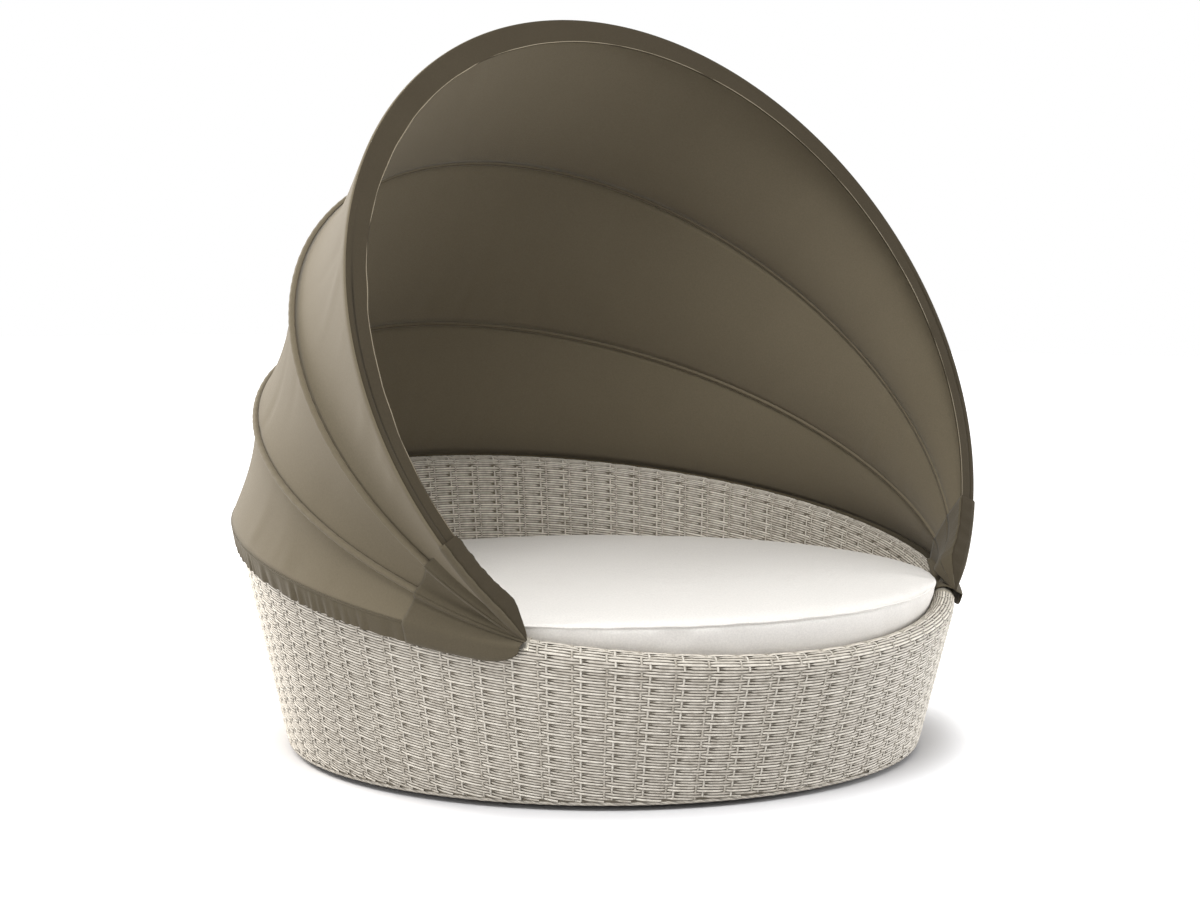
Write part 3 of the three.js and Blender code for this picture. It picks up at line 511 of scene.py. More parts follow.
# Painted shade: the seam cords are dark to draw the shaded side of each sleeve's ridge
canvas_seam_shade = cloth_material("Canopy seam painted shade", linear(92, 82, 66), linear(76, 68, 54), 9.0, 0.1)
cover = cloth_material("Mattress cover", linear(240, 237, 232), linear(232, 228, 222), 4.0, 0.15,
                       contrast=0.5, thread=500.0, depth=0.00015)
coated = moulded_material("Powder coat", linear(190, 184, 170), linear(172, 166, 153), 0.4, metallic=0.5)
steel = moulded_material("Plated steel", linear(200, 202, 204), linear(170, 172, 175), 0.22,
                         metallic=1.0, scale=60.0)
rubber = moulded_material("Foot rubber", linear(48, 47, 46), linear(30, 30, 30), 0.75)
slide = moulded_material("Slide moulding", linear(232, 229, 221), linear(218, 214, 205), 0.35)
board = moulded_material("Deck board", linear(160, 150, 134), linear(128, 118, 102), 0.6,
                         scale=14.0, grain=300.0)
print("materials:", len(bpy.data.materials))

# %% Dress the solids and the pieces
finish_of = {"weave": backing_painted_shade, "coated_frame": coated, "plated_steel": steel, "deck_board": board,
             "foot_rubber": rubber, "acetal": slide}
for row in frame["record"]["subparts"]:
    if row["material_slot"] in finish_of:
        slots = frame["nodes"][row["node"]].data.materials
        slots.clear()
        slots.append(finish_of[row["material_slot"]])


def dress(piece, material, body, node=None):
    piece.data.materials.clear()
    piece.data.materials.append(material)
    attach(piece, body)
    if node:
        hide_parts(node)
    return piece


print("solids that keep their own form take:", sorted(finish_of))

# %% [markdown]
# ## Rows of the basket
# The outer wall runs from the rim's roll to the floor edge, where the rows are cut off by the border. The
# roll has its own rows, and the inner wall shows between the roll and the mattress, so rows further down
# are left out. Each part is a piece of its own, which keeps every mesh to a size that is easy to handle.

# %% Parts of the basket
BORDER_ROOM = 0.009
LOWEST_SEEN_INSIDE = 0.34
INNER_ROWS = 56


def outer_depth(rows, t):
    return (-rows - 0.5) * ROW_PITCH + 0 * t, ROW_PITCH


def roll_depth(rows, t):
    return (rows + 0.5) / ROLL_ROWS + 0 * t, 1 / ROLL_ROWS


def inner_depth(rows, t):
    return (rows - ROLL_ROWS + 0.5) * ROW_PITCH + 0 * t, ROW_PITCH


def on_half(side):
    """What shows of the outer wall on one side: the rows end above the floor edge, behind the border."""
    return lambda rows, t: ((outer_depth(rows, t)[0] < drum_frame(t)["wall"] - BORDER_ROOM)
                            & (np.cos(t - drift_at(rows)) * side > -1e-6))


def seen_inside(rows, t):
    return inner_wall(t, inner_depth(rows, t)[0], 0 * t)[..., 2] > LOWEST_SEEN_INSIDE


around = np.radians(np.arange(0, 360, 5.0))
outer_rows = np.arange(-int(drum_frame(around)["wall"].max() / ROW_PITCH) - 1, 0)
roll_rows = np.arange(ROLL_ROWS)
inner_rows = np.arange(ROLL_ROWS, ROLL_ROWS + INNER_ROWS)
areas = {
    "wall_rows_right": (outer_wall, outer_rows, outer_depth, on_half(1)),
    "wall_rows_left": (outer_wall, outer_rows, outer_depth, on_half(-1)),
    "roll_rows": (roll_surface, roll_rows, roll_depth, lambda rows, t: rows * 0 + t * 0 == 0),
    "inner_rows": (inner_wall, inner_rows, inner_depth, seen_inside),
}
print("rows outside, on the roll and inside:", len(outer_rows), len(roll_rows), len(inner_rows))

# %% Place the rows
def place_strands(kind, weave, material):
    for name, area in areas.items():
        points, faces, across, tone_and_shade = weave(*area)
        piece = mesh_piece(name.replace("rows", kind), points, faces)
        add_number(piece, "across", across)
        add_number(piece, "tone_and_shade", tone_and_shade)
        dress(piece, material, "drum")
        print(piece.name, len(faces), "faces")


place_strands("rows", weave_rows, wicker)

# %% [markdown]
# ## Stakes and the border
# A stake shows only where a row dips behind it, so its ribbon is made there alone and dives under the rows
# on both sides. At the floor the rows end in a border of twisted strands, which hides their cut ends and
# carries the shadow line under the basket.

# %% Stakes
def weave_stakes(surface, rows, depth_of, keep):
    """Short ribbons that run up the section, only where a row dips behind their stake."""
    stakes = np.arange(STAKES)
    dip = (stakes % 4 == DIP_STAKES[rows % 4][:, None]).astype(float)
    t = stakes * math.tau / STAKES + drift_at(rows)[:, None]
    depth, _ = depth_of(rows[:, None], t)
    lift = SKIN_LIFT + STAKE_PROUD + STRAND_LIFT * (2 * dip - 1)
    points = [surface(t + across * 0.5 * STAKE_WIDTH / RIM_RADIUS, depth, lift + crown)
              for across, crown in STAKE_CROWN]
    index = np.arange(dip.size * 4).reshape(*dip.shape, 4)
    here, after = index[:-1], index[1:]
    shown = keep(rows[:, None], t)
    shown = shown[:-1] & shown[1:] & ((dip[:-1] + dip[1:]) > 0)
    faces = []
    for k in range(3):
        quads = [here[:, :, k], here[:, :, k + 1], after[:, :, k + 1], after[:, :, k]]
        faces.append(np.stack(quads, -1)[shown])
    tone_and_shade = STAKE_LIGHT_AND_SHADE[rows % 4][:, None] + rng.uniform(-STAKE_SCATTER, STAKE_SCATTER, dip.shape)
    return ribbons(np.stack(points, 2), np.concatenate(faces), STAKE_CROWN, tone_and_shade)


place_strands("stakes", weave_stakes, wicker_stake)

# %% Border
BORDER_RADIUS = 0.0042
BORDER_INSET = 0.0015
BORDER_TWISTS = 150
BORDER_STEPS = 1500
BORDER_SIDES = 12


def ring_angles(steps, sides):
    """The way round the drum and the way round the tube, for every point of a ring."""
    return np.meshgrid(np.arange(steps) * math.tau / steps, np.arange(sides) * math.tau / sides,
                       indexing="ij")


def ring_tube(name, t, around_section, radius, height, thickness):
    """A closed tube round the drum's axis, whose radius, height and thickness may change on the way."""
    points = on_circle(t, 1.0, 0.0) * (radius + thickness * np.cos(around_section))[..., None]
    points[..., 2] = height + thickness * np.sin(around_section)
    return grid_piece(name, points, True, True)


t, around_section = ring_angles(BORDER_STEPS, BORDER_SIDES)
fat = BORDER_RADIUS * (0.78 + 0.3 * np.abs(np.cos(around_section + t * BORDER_TWISTS / 2)))
border = ring_tube("bottom_border", t, around_section, BOTTOM_RADIUS - BORDER_INSET,
                   FLOOR_GAP + BORDER_RADIUS, fat)
add_number(border, "across", np.sin(around_section * 2 + t * BORDER_TWISTS))
add_number(border, "tone_and_shade", 0.5 + 0 * t)
dress(border, wicker, "drum")
print("border twists:", BORDER_TWISTS)

# %% [markdown]
# ## The mattress
# A round outdoor mattress is a zipped cover over foam: two discs and a boxing strip, joined at welted
# seams. The top rises quickly at its edge and then stays nearly level, and the side is drawn in between its
# seams. At the front, where the wall stands further off, the cover spreads into the room that it finds. It
# is a cloth simulation: the top seam and the underside are held, a very light pressure fills the cover, and
# how far each point may move is limited, so that the result keeps the solid's form with the slackness of
# real fabric.

# %% Mattress measures
MATTRESS_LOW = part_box("mattress")[0].z
MATTRESS_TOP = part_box("mattress")[1].z
MATTRESS_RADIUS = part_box("mattress")[1].x
MATTRESS_CROWN = 0.018
MATTRESS_SPREAD = 0.024
DECK_EDGE_ROOM = 0.006
MATTRESS_LOW_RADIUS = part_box("seat_deck")[1].x - DECK_EDGE_ROOM
SEAM_HEIGHT = MATTRESS_TOP - MATTRESS_CROWN
SIDE_DRAW = 0.002
LOW_TUCK = 0.006
TUCK_START = 0.85
GRID = 56
ROUND = 4 * GRID
SIDE_ROWS = 9


def crown_height(share):
    return MATTRESS_CROWN * (1 - np.clip(share, 0, 1) ** 6) ** 0.6


def relaxed_radius(direction):
    """The seam's radius: the cover spreads a little at the front, where the wall stands further off."""
    length = np.maximum(np.linalg.norm(direction, axis=-1), 1e-9)
    sideways, forwards = direction[..., 0] / length, -direction[..., 1] / length
    return MATTRESS_RADIUS + MATTRESS_SPREAD * ((1 + forwards) / 2) ** 0.7 * (0.55 + 0.45 * sideways ** 2)


print("mattress seam at", round(SEAM_HEIGHT, 4), "bottom radius", round(MATTRESS_LOW_RADIUS, 4))

# %% Mattress form
line = np.linspace(-1, 1, GRID + 1)
u, v = np.meshgrid(line, line, indexing="ij")
disc = np.stack([u * np.sqrt(1 - v * v / 2), v * np.sqrt(1 - u * u / 2)], -1)
share = np.linalg.norm(disc, axis=-1)
top = np.dstack([disc * relaxed_radius(disc)[..., None], SEAM_HEIGHT + crown_height(share)])
low = np.dstack([disc * (MATTRESS_LOW_RADIUS - LOW_TUCK), np.full_like(share, MATTRESS_LOW)])
edge = [(i, 0) for i in range(GRID)] + [(GRID, j) for j in range(GRID)]
edge += [(i, GRID) for i in range(GRID, 0, -1)] + [(0, j) for j in range(GRID, 0, -1)]
edge = tuple(np.array(edge).T)
direction = disc[edge] / share[edge][:, None]
seam_radius = relaxed_radius(direction)
side = []
for k in range(1, SIDE_ROWS):
    fall = k / SIDE_ROWS
    radius = seam_radius + (MATTRESS_LOW_RADIUS - seam_radius) * fall - SIDE_DRAW * math.sin(math.pi * fall)
    radius -= LOW_TUCK * max(0.0, fall - TUCK_START) / (1 - TUCK_START)
    height = np.full(ROUND, SEAM_HEIGHT + (MATTRESS_LOW - SEAM_HEIGHT) * fall)
    side.append(np.column_stack([direction * radius[:, None], height]))
count = (GRID + 1) ** 2
rim_top = np.arange(count).reshape(GRID + 1, GRID + 1)[edge]
loops = [rim_top] + [2 * count + k * ROUND + np.arange(ROUND) for k in range(SIDE_ROWS - 1)]
loops.append(rim_top + count)
faces = [grid_faces(GRID + 1, GRID + 1), grid_faces(GRID + 1, GRID + 1)[:, ::-1] + count]
for upper, lower in zip(loops, loops[1:]):
    faces.append(np.stack([upper, lower, np.roll(lower, -1), np.roll(upper, -1)], 1))
mattress = mesh_piece("mattress_cover", np.concatenate([top.reshape(-1, 3), low.reshape(-1, 3), *side]),
                      np.concatenate(faces))
bm = bmesh.new()
bm.from_mesh(mattress.data)
bmesh.ops.recalc_face_normals(bm, faces=bm.faces)
bm.to_mesh(mattress.data)
bm.free()
print("mattress points:", len(mattress.data.vertices))

# %% Fill the cover
COVER_PRESSURE = 0.3
COVER_GROWTH = 0.012
COVER_LIMIT = 0.005
SETTLE_FRAMES = 20


def fill_cover(piece, held):
    """Lets the cover settle, limits how far each point has moved, and gives back the most it would have."""
    rest = np.array([v.co for v in piece.data.vertices])
    pins = piece.vertex_groups.new(name="held")
    pins.add([int(k) for k in held], 1.0, "REPLACE")
    cloth = piece.modifiers.new("Cloth", "CLOTH")
    cloth.settings.vertex_group_mass = "held"
    cloth.settings.use_pressure = True
    cloth.settings.uniform_pressure_force = COVER_PRESSURE
    cloth.settings.effector_weights.gravity = 0
    cloth.settings.shrink_min = -COVER_GROWTH
    cloth.collision_settings.use_collision = False
    cloth.point_cache.frame_start = 1
    cloth.point_cache.frame_end = SETTLE_FRAMES
    for step in range(1, SETTLE_FRAMES + 1):
        bpy.context.scene.frame_set(step)
    bpy.context.view_layer.objects.active = piece
    bpy.ops.object.modifier_apply(modifier="Cloth")
    bpy.context.scene.frame_set(1)
    moved = np.array([v.co for v in piece.data.vertices]) - rest
    length = np.linalg.norm(moved, axis=1, keepdims=True)
    moved *= np.minimum(1.0, COVER_LIMIT / np.maximum(length, 1e-9))
    piece.data.vertices.foreach_set("co", (rest + moved).astype(np.float32).ravel())
    piece.data.update()
    return float(length.max())


held = np.concatenate([rim_top, np.arange(count, 2 * count)])
print("cover moved at most", round(fill_cover(mattress, held), 4), "m before the limit")

# %% Puckers and dimples
PUCKER_PLACE = 0.965
PUCKER_REACH = 0.03
PUCKER_DEPTH = 0.0007
COVER_PUCKERS = 74
DIMPLE_DEPTH = 0.0016
SEAM_BAND = 0.001
points = np.array([v.co for v in mattress.data.vertices])
around = np.arctan2(points[:, 1], points[:, 0])
from_axis = np.hypot(points[:, 0], points[:, 1]) / MATTRESS_RADIUS
near_seam = np.exp(-((from_axis - PUCKER_PLACE) / PUCKER_REACH) ** 2)
near_seam *= points[:, 2] > SEAM_HEIGHT - SEAM_BAND
pucker = PUCKER_DEPTH * np.sin(around * COVER_PUCKERS + 2 * np.sin(around * 5)) * near_seam
dimple = np.sin(points[:, 0] * 9 + 1) * np.sin(points[:, 1] * 8) * (points[:, 2] > SEAM_HEIGHT)
points[:, 2] += pucker + DIMPLE_DEPTH * dimple * (1 - from_axis ** 4)
mattress.data.vertices.foreach_set("co", points.astype(np.float32).ravel())
smoother = mattress.modifiers.new("Smooth", "SUBSURF")
smoother.levels = smoother.render_levels = 1
dress(mattress, cover, "drum", "mattress")
print("mattress top", round(points[:, 2].max(), 4))

# %% [markdown]
# ## Welts
# Both seams carry a welt: a cord covered in the same fabric. It hides the stitching and takes the wear.
# Each is a thin tube round the seam that waves a little, as a sewn cord does.

# %% Welts
WELT_RADIUS = 0.0024
WELT_STEPS = 360
WELT_SIDES = 8
WELT_WAVER = 0.0006
TOP_WELT_INSET = 0.0012
LOW_WELT_INSET = 0.003
LOW_WELT_RISE = 0.006
t, around_section = ring_angles(WELT_STEPS, WELT_SIDES)
waver = WELT_WAVER * (np.sin(t * 23 + np.sin(t * 7)) + np.sin(t * 61) / 1.5)
top_radius = relaxed_radius(on_circle(t, 1.0, 0.0)[..., :2]) - TOP_WELT_INSET
low_radius = MATTRESS_LOW_RADIUS - LOW_WELT_INSET
for name, radius, height in (("top_welt", top_radius, SEAM_HEIGHT),
                             ("bottom_welt", low_radius, MATTRESS_LOW + LOW_WELT_RISE)):
    welt = ring_tube(name, t, around_section, radius, height + waver, WELT_RADIUS)
    dress(welt, cover, "drum")
print("top welt's radius:", round(top_radius.min(), 3), "at the back,", round(top_radius.max(), 3), "at most")

# %% [markdown]
# ## The canopy's lines
# Each bow is one arc in a tilted plane, and all three stand on one line across the rim. The cloth is a
# single shell over them: sewn panels between the bows that pull hollow, a sleeve round the rear and the
# middle tube, a band behind the front edge and a gathered hem round the rim. All of it is written in the
# bow's own terms, the way round the arc and the distance inward, so that neighbouring pieces meet exactly.

# %% Canopy lines
CANOPY_RADIUS = 0.869
CANOPY_REACH = 1.523
ROOT = np.array([0.0, -0.58743, 0.37362])
ROOT_HALF_WIDTH = 0.62366
CHORD_DEPTH = math.sqrt(CANOPY_RADIUS ** 2 - ROOT_HALF_WIDTH ** 2)
STRETCH = CANOPY_REACH / (CHORD_DEPTH + CANOPY_RADIUS)
BOW_TURN = {"front": math.radians(64.59), "middle": math.radians(44.44), "rear": math.radians(24.85)}
SLEEVE_INSET = 0.0102
SLEEVE_RADIUS = 0.0076
PANEL_INSET = 0.0120
CLOTH = 0.0014
HEM_OFF = 0.0125
HEM_DROP = 0.045
HEM_RISE = 0.002
HEM_TIP = 0.095
print("canopy stands on", [round(v, 3) for v in ROOT], "stretch", round(STRETCH, 4))

# %% Places on the canopy
def bow_direction(name):
    """The direction from the foot line up the middle of a bow."""
    turn = BOW_TURN[name]
    return np.array([0.0, math.cos(turn), math.sin(turn)])


def reach_of(phi, inset=0.0):
    """How far along that direction a place on the arc is."""
    return (CHORD_DEPTH + (CANOPY_RADIUS - inset) * np.sin(phi)) * STRETCH


def phi_at(reach):
    return math.asin((reach / STRETCH - CHORD_DEPTH) / CANOPY_RADIUS)


def bow_point(name, phi, inset=0.0, lift=0.0):
    """A place on a bow: phi round the arc, inset towards its middle and lift off its plane."""
    phi, inset, lift = np.broadcast_arrays(phi, np.asarray(inset, float), np.asarray(lift, float))
    along = bow_direction(name)
    up = np.cross([1.0, 0.0, 0.0], along)
    side = np.stack([(CANOPY_RADIUS - inset) * np.cos(phi), 0 * phi, 0 * phi], -1)
    return ROOT + side + along * reach_of(phi, inset)[..., None] + up * lift[..., None]


def inward_at(name, phi):
    return np.stack([-np.cos(phi), 0 * phi, 0 * phi], -1) - bow_direction(name) * np.sin(phi)[..., None]


print("front bow's top:", np.round(bow_point("front", math.pi / 2), 3))

# %% Places on the hem
def end_share(t):
    """0 at the ends of the foot line, rising to 1 where the hem is clear of the hinges."""
    from_end = np.minimum(t - phi_at(0), math.pi - phi_at(0) - t)
    x = np.clip(from_end / BOW_TURN["rear"], 0, 1)
    return x * x * (3 - 2 * x)


def hem_point(t, share, off=0.0):
    """A place on the hem: share 0 is its lower edge and 1 the seam, and off is how far it stands off."""
    t, share, off = np.broadcast_arrays(t, np.asarray(share, float), np.asarray(off, float))
    f = drum_frame(t)
    from_tip = np.clip((np.minimum(t, math.pi - t) - phi_at(0)) * RIM_RADIUS / HEM_TIP, 0, 1)
    drop = HEM_DROP * np.sqrt(1 - (1 - from_tip) ** 2)
    height = -drop + (drop + HEM_RISE * end_share(t)) * share
    return f["corner"] - f["down"] * height[..., None] + f["outside"] * (HEM_OFF + off)[..., None]


print("hem's lower edge at the back:", np.round(hem_point(math.pi / 2, 0.0), 3))

# %% [markdown]
# ## Cloth that crosses a joint
# A panel is sewn to two bows that turn on their own. It is made in short lengths, shorter where the bows
# close in at the ends of the arch, which are then joined into one sheet.

# %% Strips
LONGEST_STRIP = 7
STRIP_TAPER = 6


def join_strips(pieces, name):
    bpy.ops.object.select_all(action="DESELECT")
    for piece in pieces:
        piece.select_set(True)
    bpy.context.view_layer.objects.active = pieces[0]
    bpy.ops.object.join()
    whole = pieces[0]
    whole.name = name
    bm = bmesh.new()
    bm.from_mesh(whole.data)
    bmesh.ops.remove_doubles(bm, verts=bm.verts, dist=1e-6)
    bm.to_mesh(whole.data)
    bm.free()
    return whole


def strip_cuts(rows):
    """Short lengths near the ends of the arch, where the bows close in, and longer ones over the top."""
    cuts = [0]
    while cuts[-1] < rows - 1:
        from_end = min(cuts[-1], rows - 1 - cuts[-1])
        cuts.append(min(rows - 1, cuts[-1] + max(1, min(LONGEST_STRIP, from_end // STRIP_TAPER))))
    return cuts


print("strips in a row of 200:", len(strip_cuts(200)) - 1)

# %% Blended sheets
def thicken(piece, wall):
    """Gives a sheet its thickness, half to each side."""
    solid = piece.modifiers.new("Thickness", "SOLIDIFY")
    solid.thickness = wall
    solid.offset = 0


def blended_sheet(name, grid, wall=CLOTH):
    """A sheet from a grid of points, made in short lengths that are joined and then given its thickness."""
    cuts = strip_cuts(len(grid))
    pieces = []
    for start, end in zip(cuts, cuts[1:]):
        part = grid[start:end + 1]
        piece = grid_piece(name, part)
        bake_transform(piece)
        pieces.append(piece)
    whole = join_strips(pieces, name)
    thicken(whole, wall)
    return whole


def flat_size(grid):
    """Mean width and length of a grid of points, as the cloth was cut."""
    across = np.linalg.norm(np.diff(grid, axis=1), axis=-1).sum(1).mean()
    along = np.linalg.norm(np.diff(grid, axis=0), axis=-1).sum(0).mean()
    return float(across), float(along)


def sheet_area(grid):
    a, b = grid[:-1, :-1] - grid[1:, 1:], grid[1:, :-1] - grid[:-1, 1:]
    return float(np.linalg.norm(np.cross(a, b), axis=-1).sum() / 2)


print("cloth is", CLOTH * 1000, "mm thick")

# %% [markdown]
# ## Panels
# Three panels make the shell. Each is pulled hollow between its bows, most over the middle. Cloth that
# hangs between tubes is never quite even, so shallow folds run across each panel: they start at a seam,
# lean a little and fade. The rear panel flares out over the rim to the hem.

# %% Panel measures
PHI_START = phi_at(0.030)
PANEL_ROWS = 241
PANEL_COLUMNS = 19
# How far each panel is drawn in, and where: a skew under 1 moves the deepest place towards the low edge
SAG_AND_SKEW = {"rear": (0.014, 1.0), "middle": (0.018, 0.8), "front": (0.022, 0.62)}
MOST_SAG_SHARE = 0.10
# For each panel the number of folds, how deep they are, and the seam they start at
FOLDS = {"rear": (30, 0.0040, "low"), "middle": (22, 0.0040, "both"), "front": (24, 0.0045, "high")}
FOLD_FADE = 0.2
# The front edge turns in round the bow: inset and lift of two lines past the panel's edge
FRONT_TURN = ((0.0006, 0.0040), (0.0030, 0.0072))
phi_rows = np.linspace(PHI_START, math.pi - PHI_START, PANEL_ROWS)
share_columns = np.linspace(0, 1, PANEL_COLUMNS)
fold_rng = np.random.default_rng(11)


def folds(phi, share, count, depth, edge):
    """Shallow folds: each a soft ridge that leans across the panel and fades from one seam."""
    total = np.zeros(np.broadcast(phi, share).shape)
    for _ in range(count):
        centre = fold_rng.uniform(PHI_START, math.pi - PHI_START)
        lean = fold_rng.uniform(-0.10, 0.10)
        width = fold_rng.uniform(0.012, 0.035)
        reach = fold_rng.uniform(0.25, 0.8)
        size = fold_rng.uniform(0.4, 1.0) * fold_rng.choice([-1, 1])
        from_seam = share if edge == "low" or (edge == "both" and fold_rng.random() < 0.5) else 1 - share
        along = np.exp(-((phi - centre - lean * share) / width) ** 2)
        total += size * depth * along * np.clip(from_seam * 6, 0, 1) * np.exp(-(from_seam / reach) ** 2)
    return total


print("folds:", {name: count for name, (count, *_) in FOLDS.items()})

# %% Panel grids
def between(low, high, share):
    """Rows of points on the straight lines from the low edge to the high one."""
    return low[:, None] + (high - low)[:, None] * share[..., None]


def hollow(name, width, share):
    """How far the cloth is drawn in at each share of its width."""
    sag, skew = SAG_AND_SKEW[name]
    return np.minimum(sag, width * MOST_SAG_SHARE) * np.sin(math.pi * share ** skew)


def panel_grid(name, low, high):
    width = np.linalg.norm(high - low, axis=-1)[:, None]
    share = share_columns[None]
    fold = folds(phi_rows[:, None], share, *FOLDS[name]) * np.clip(width / FOLD_FADE, 0, 1)
    inset = hollow(name, width, share) + fold
    return between(low, high, share) + inward_at(name, phi_rows)[:, None] * inset[..., None]


print("points in a panel:", PANEL_ROWS * PANEL_COLUMNS)

# %% Panels
hem_top = hem_point(phi_rows, 1.0)
rear_line = bow_point("rear", phi_rows, PANEL_INSET)
middle_line = bow_point("middle", phi_rows, PANEL_INSET)
front_line = bow_point("front", phi_rows, CLOTH / 2)
front_turn = np.stack([bow_point("front", phi_rows, CLOTH / 2 + inset, lift)
                       for inset, lift in FRONT_TURN], 1)
panels = {
    "rear_panel": (panel_grid("rear", hem_top, rear_line), ("drum", "rear_bow")),
    "middle_panel": (panel_grid("middle", rear_line, middle_line), ("rear_bow", "middle_bow")),
    "front_panel": (np.concatenate([panel_grid("front", middle_line, front_line), front_turn], 1),
                    ("middle_bow", "front_bow")),
}
for name, (grid, bodies) in panels.items():
    piece = blended_sheet(name + "_cloth", grid)
    piece.data.materials.append(canvas)
    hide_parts(name)
    print(name, "cut", [round(v, 2) for v in flat_size(grid)], "area", round(sheet_area(grid), 3))

# %% [markdown]
# ## Sleeves and seams
# The rear and the middle bow run in narrow sleeves that the panels are sewn to on both sides, so each shows
# as a thin ridge with a seam cord beside it, outside and inside; the cords are dark as painted shade, for the
# shaded side of the ridge. A sleeve is drawn tight over its tube, with small puckers from the seam. The front
# bow has none, because the band of the next step is folded round it.

# %% Sleeve measures
SLEEVE_WIDER = 1.13
SLEEVE_SIDES = 16
SLEEVE_PUCKER = 0.0003
SLEEVE_PUCKERS = 160
SEAM_RADIUS = 0.0011
SEAM_PAST = 0.0030
SEAM_SUNK = 0.0006
SWEEP_STEPS = 481
CORD_SIDES = 8
# Inset and lift of the two seams that sew a sleeve to its panels
SEAMS = {"inner": (SLEEVE_INSET + SLEEVE_WIDER * SLEEVE_RADIUS, 0.0),
         "front": (SLEEVE_INSET + SEAM_PAST, SLEEVE_RADIUS - SEAM_SUNK)}
fine_phi = np.linspace(PHI_START, math.pi - PHI_START, SWEEP_STEPS)


def arch_sweep(name, bow, section):
    """A section of (inset, lift) pairs, swept round a bow's arch."""
    grid = np.stack([bow_point(bow, fine_phi, inset, lift) for inset, lift in section], 1)
    return grid, grid_piece(name, grid)


def cord_section(inset, lift, radius):
    return [(inset + radius * math.cos(angle), lift + radius * math.sin(angle))
            for angle in np.linspace(0, math.tau, CORD_SIDES + 1)]


print("sweeps of", SWEEP_STEPS, "steps round a bow")

# %% Sleeves
swell = SLEEVE_RADIUS + SLEEVE_PUCKER * np.sin(fine_phi * SLEEVE_PUCKERS + 3 * np.sin(fine_phi * 9))
sleeve_section = [(SLEEVE_INSET - SLEEVE_WIDER * swell * math.cos(angle), swell * math.sin(angle))
                  for angle in np.linspace(-math.pi, math.pi, SLEEVE_SIDES + 1)]
# Sleeves in canvas, and dark seam cords beside them as painted shade along each ridge
for bow in ("rear", "middle"):
    grid, sleeve = arch_sweep(bow + "_sleeve", bow, sleeve_section)
    dress(sleeve, canvas, bow + "_bow")
    for side, place in SEAMS.items():
        _, seam = arch_sweep(f"{bow}_{side}_seam", bow, cord_section(*place, SEAM_RADIUS))
        dress(seam, canvas_seam_shade, bow + "_bow")
print("sleeve cut", [round(v, 3) for v in flat_size(grid)])

# %% [markdown]
# ## Front band
# Behind the front edge a broad band is folded round the front bow and hangs inward, a little wider over the
# top. Its free edge has a thin piping and waves slightly, because it isn't held there.

# %% Band measures
FACING_TOP = 0.062
FACING_END = 0.034
FACING_TAPER = 0.17
FACING_LIFT = 0.0080
FACING_CLOTH = 0.0012
# Inset and lift of the fold round the bow, before the band hangs free
FACING_FOLD = ((0.0030, 0.0074), (0.0062, 0.0086), (0.0110, 0.0088), (0.0165, 0.0082))
# Where the free edge folds back: share of the width, lift, and how far it waves up and down
FACING_EDGE = ((0.995, 0.0055, 0.0030), (0.93, 0.0050, 0.0028))
HELD_SHARE = 0.25
WAVE_IN = 0.0022
WAVE_UP = 0.0030
PIPING_RADIUS = 0.0014
PIPING_INSET = 0.0012
PIPING_LIFT = 0.0076
PIPING_WAVE_IN = 0.0020
PIPING_WAVE_UP = 0.0026
wave_rng = np.random.default_rng(5)
wave_phases = wave_rng.uniform(0, math.tau, 8)


def edge_wave(phi):
    """The wave of the free edge: a sum of eight, each shorter and lower than the last."""
    total = np.zeros_like(phi)
    for k, phase in enumerate(wave_phases):
        total += np.sin(phi * (9 + 7 * k) + phase) / (1.5 + 0.5 * k)
    return total / 2.2


def facing_width(phi):
    """How wide the band is: widest over the top, and drawn in at the hinges."""
    width = FACING_END + (FACING_TOP - FACING_END) * (np.sin(phi) + 1) / 2
    return width * (0.35 + 0.65 * np.clip(reach_of(phi) / FACING_TAPER, 0, 1) ** 0.8)


print("band width at the top:", FACING_TOP, "m")

# %% Front band
width = facing_width(fine_phi)
wave = edge_wave(fine_phi)
facing_section = list(FACING_FOLD)
for share in (0.32, 0.44, 0.56, 0.68, 0.8, 0.9, 0.97, 1.0):
    slack = max(0.0, share - HELD_SHARE)
    facing_section.append((width * share + WAVE_IN * wave * slack,
                           FACING_LIFT + WAVE_UP * wave * slack ** 1.3))
for share, lift, wave_up in FACING_EDGE:
    facing_section.append((width * share + WAVE_IN * wave, lift + wave_up * wave))
grid, facing = arch_sweep("front_facing_cloth", "front", facing_section)
# The band takes the dark facing finish, which is painted shade
dress(facing, canvas_facing_shade, "front_bow", "front_facing")
thicken(facing, FACING_CLOTH)
piping_section = cord_section(width - PIPING_INSET + PIPING_WAVE_IN * wave,
                              PIPING_LIFT + PIPING_WAVE_UP * wave, PIPING_RADIUS)
_, piping = arch_sweep("facing_piping", "front", piping_section)
dress(piping, canvas_piping, "front_bow")
print("facing cut", [round(v, 2) for v in flat_size(grid)])

# %% [markdown]
# ## Gathered hem
# The hem is a strip sewn round the shell's lower edge and gathered there, so that it closes over the rim. The
# fullness is worked into upright puckers, deep at the lower edge and flat at the stitching, and stronger
# where the hand that gathered it pushed more cloth. Waves that slower waves push to and fro make puckers of
# which no two are alike, with nothing random in them.

# %% Hem
HEM_START = phi_at(0.010)
HEM_STEPS = 1201
HEM_CLOTH_OFF = 0.0012
GATHER_DEPTH = 0.0042
HEM_PUCKERS = 52
SMALL_PUCKERS = 171
SMALL_SHARE = 0.35
GROOVE_DEPTH = 0.0018
GROOVE_SHARE = 0.88
GROOVE_REACH = 0.035
SEWN_SHARE = 0.95
BAND_CLOTH = 0.0016
hem_t = np.linspace(HEM_START, math.pi - HEM_START, HEM_STEPS)
hem_shares = np.array([0.0, 0.05, 0.16, 0.32, 0.5, 0.68, 0.82, 0.9, 0.95, 1.0])


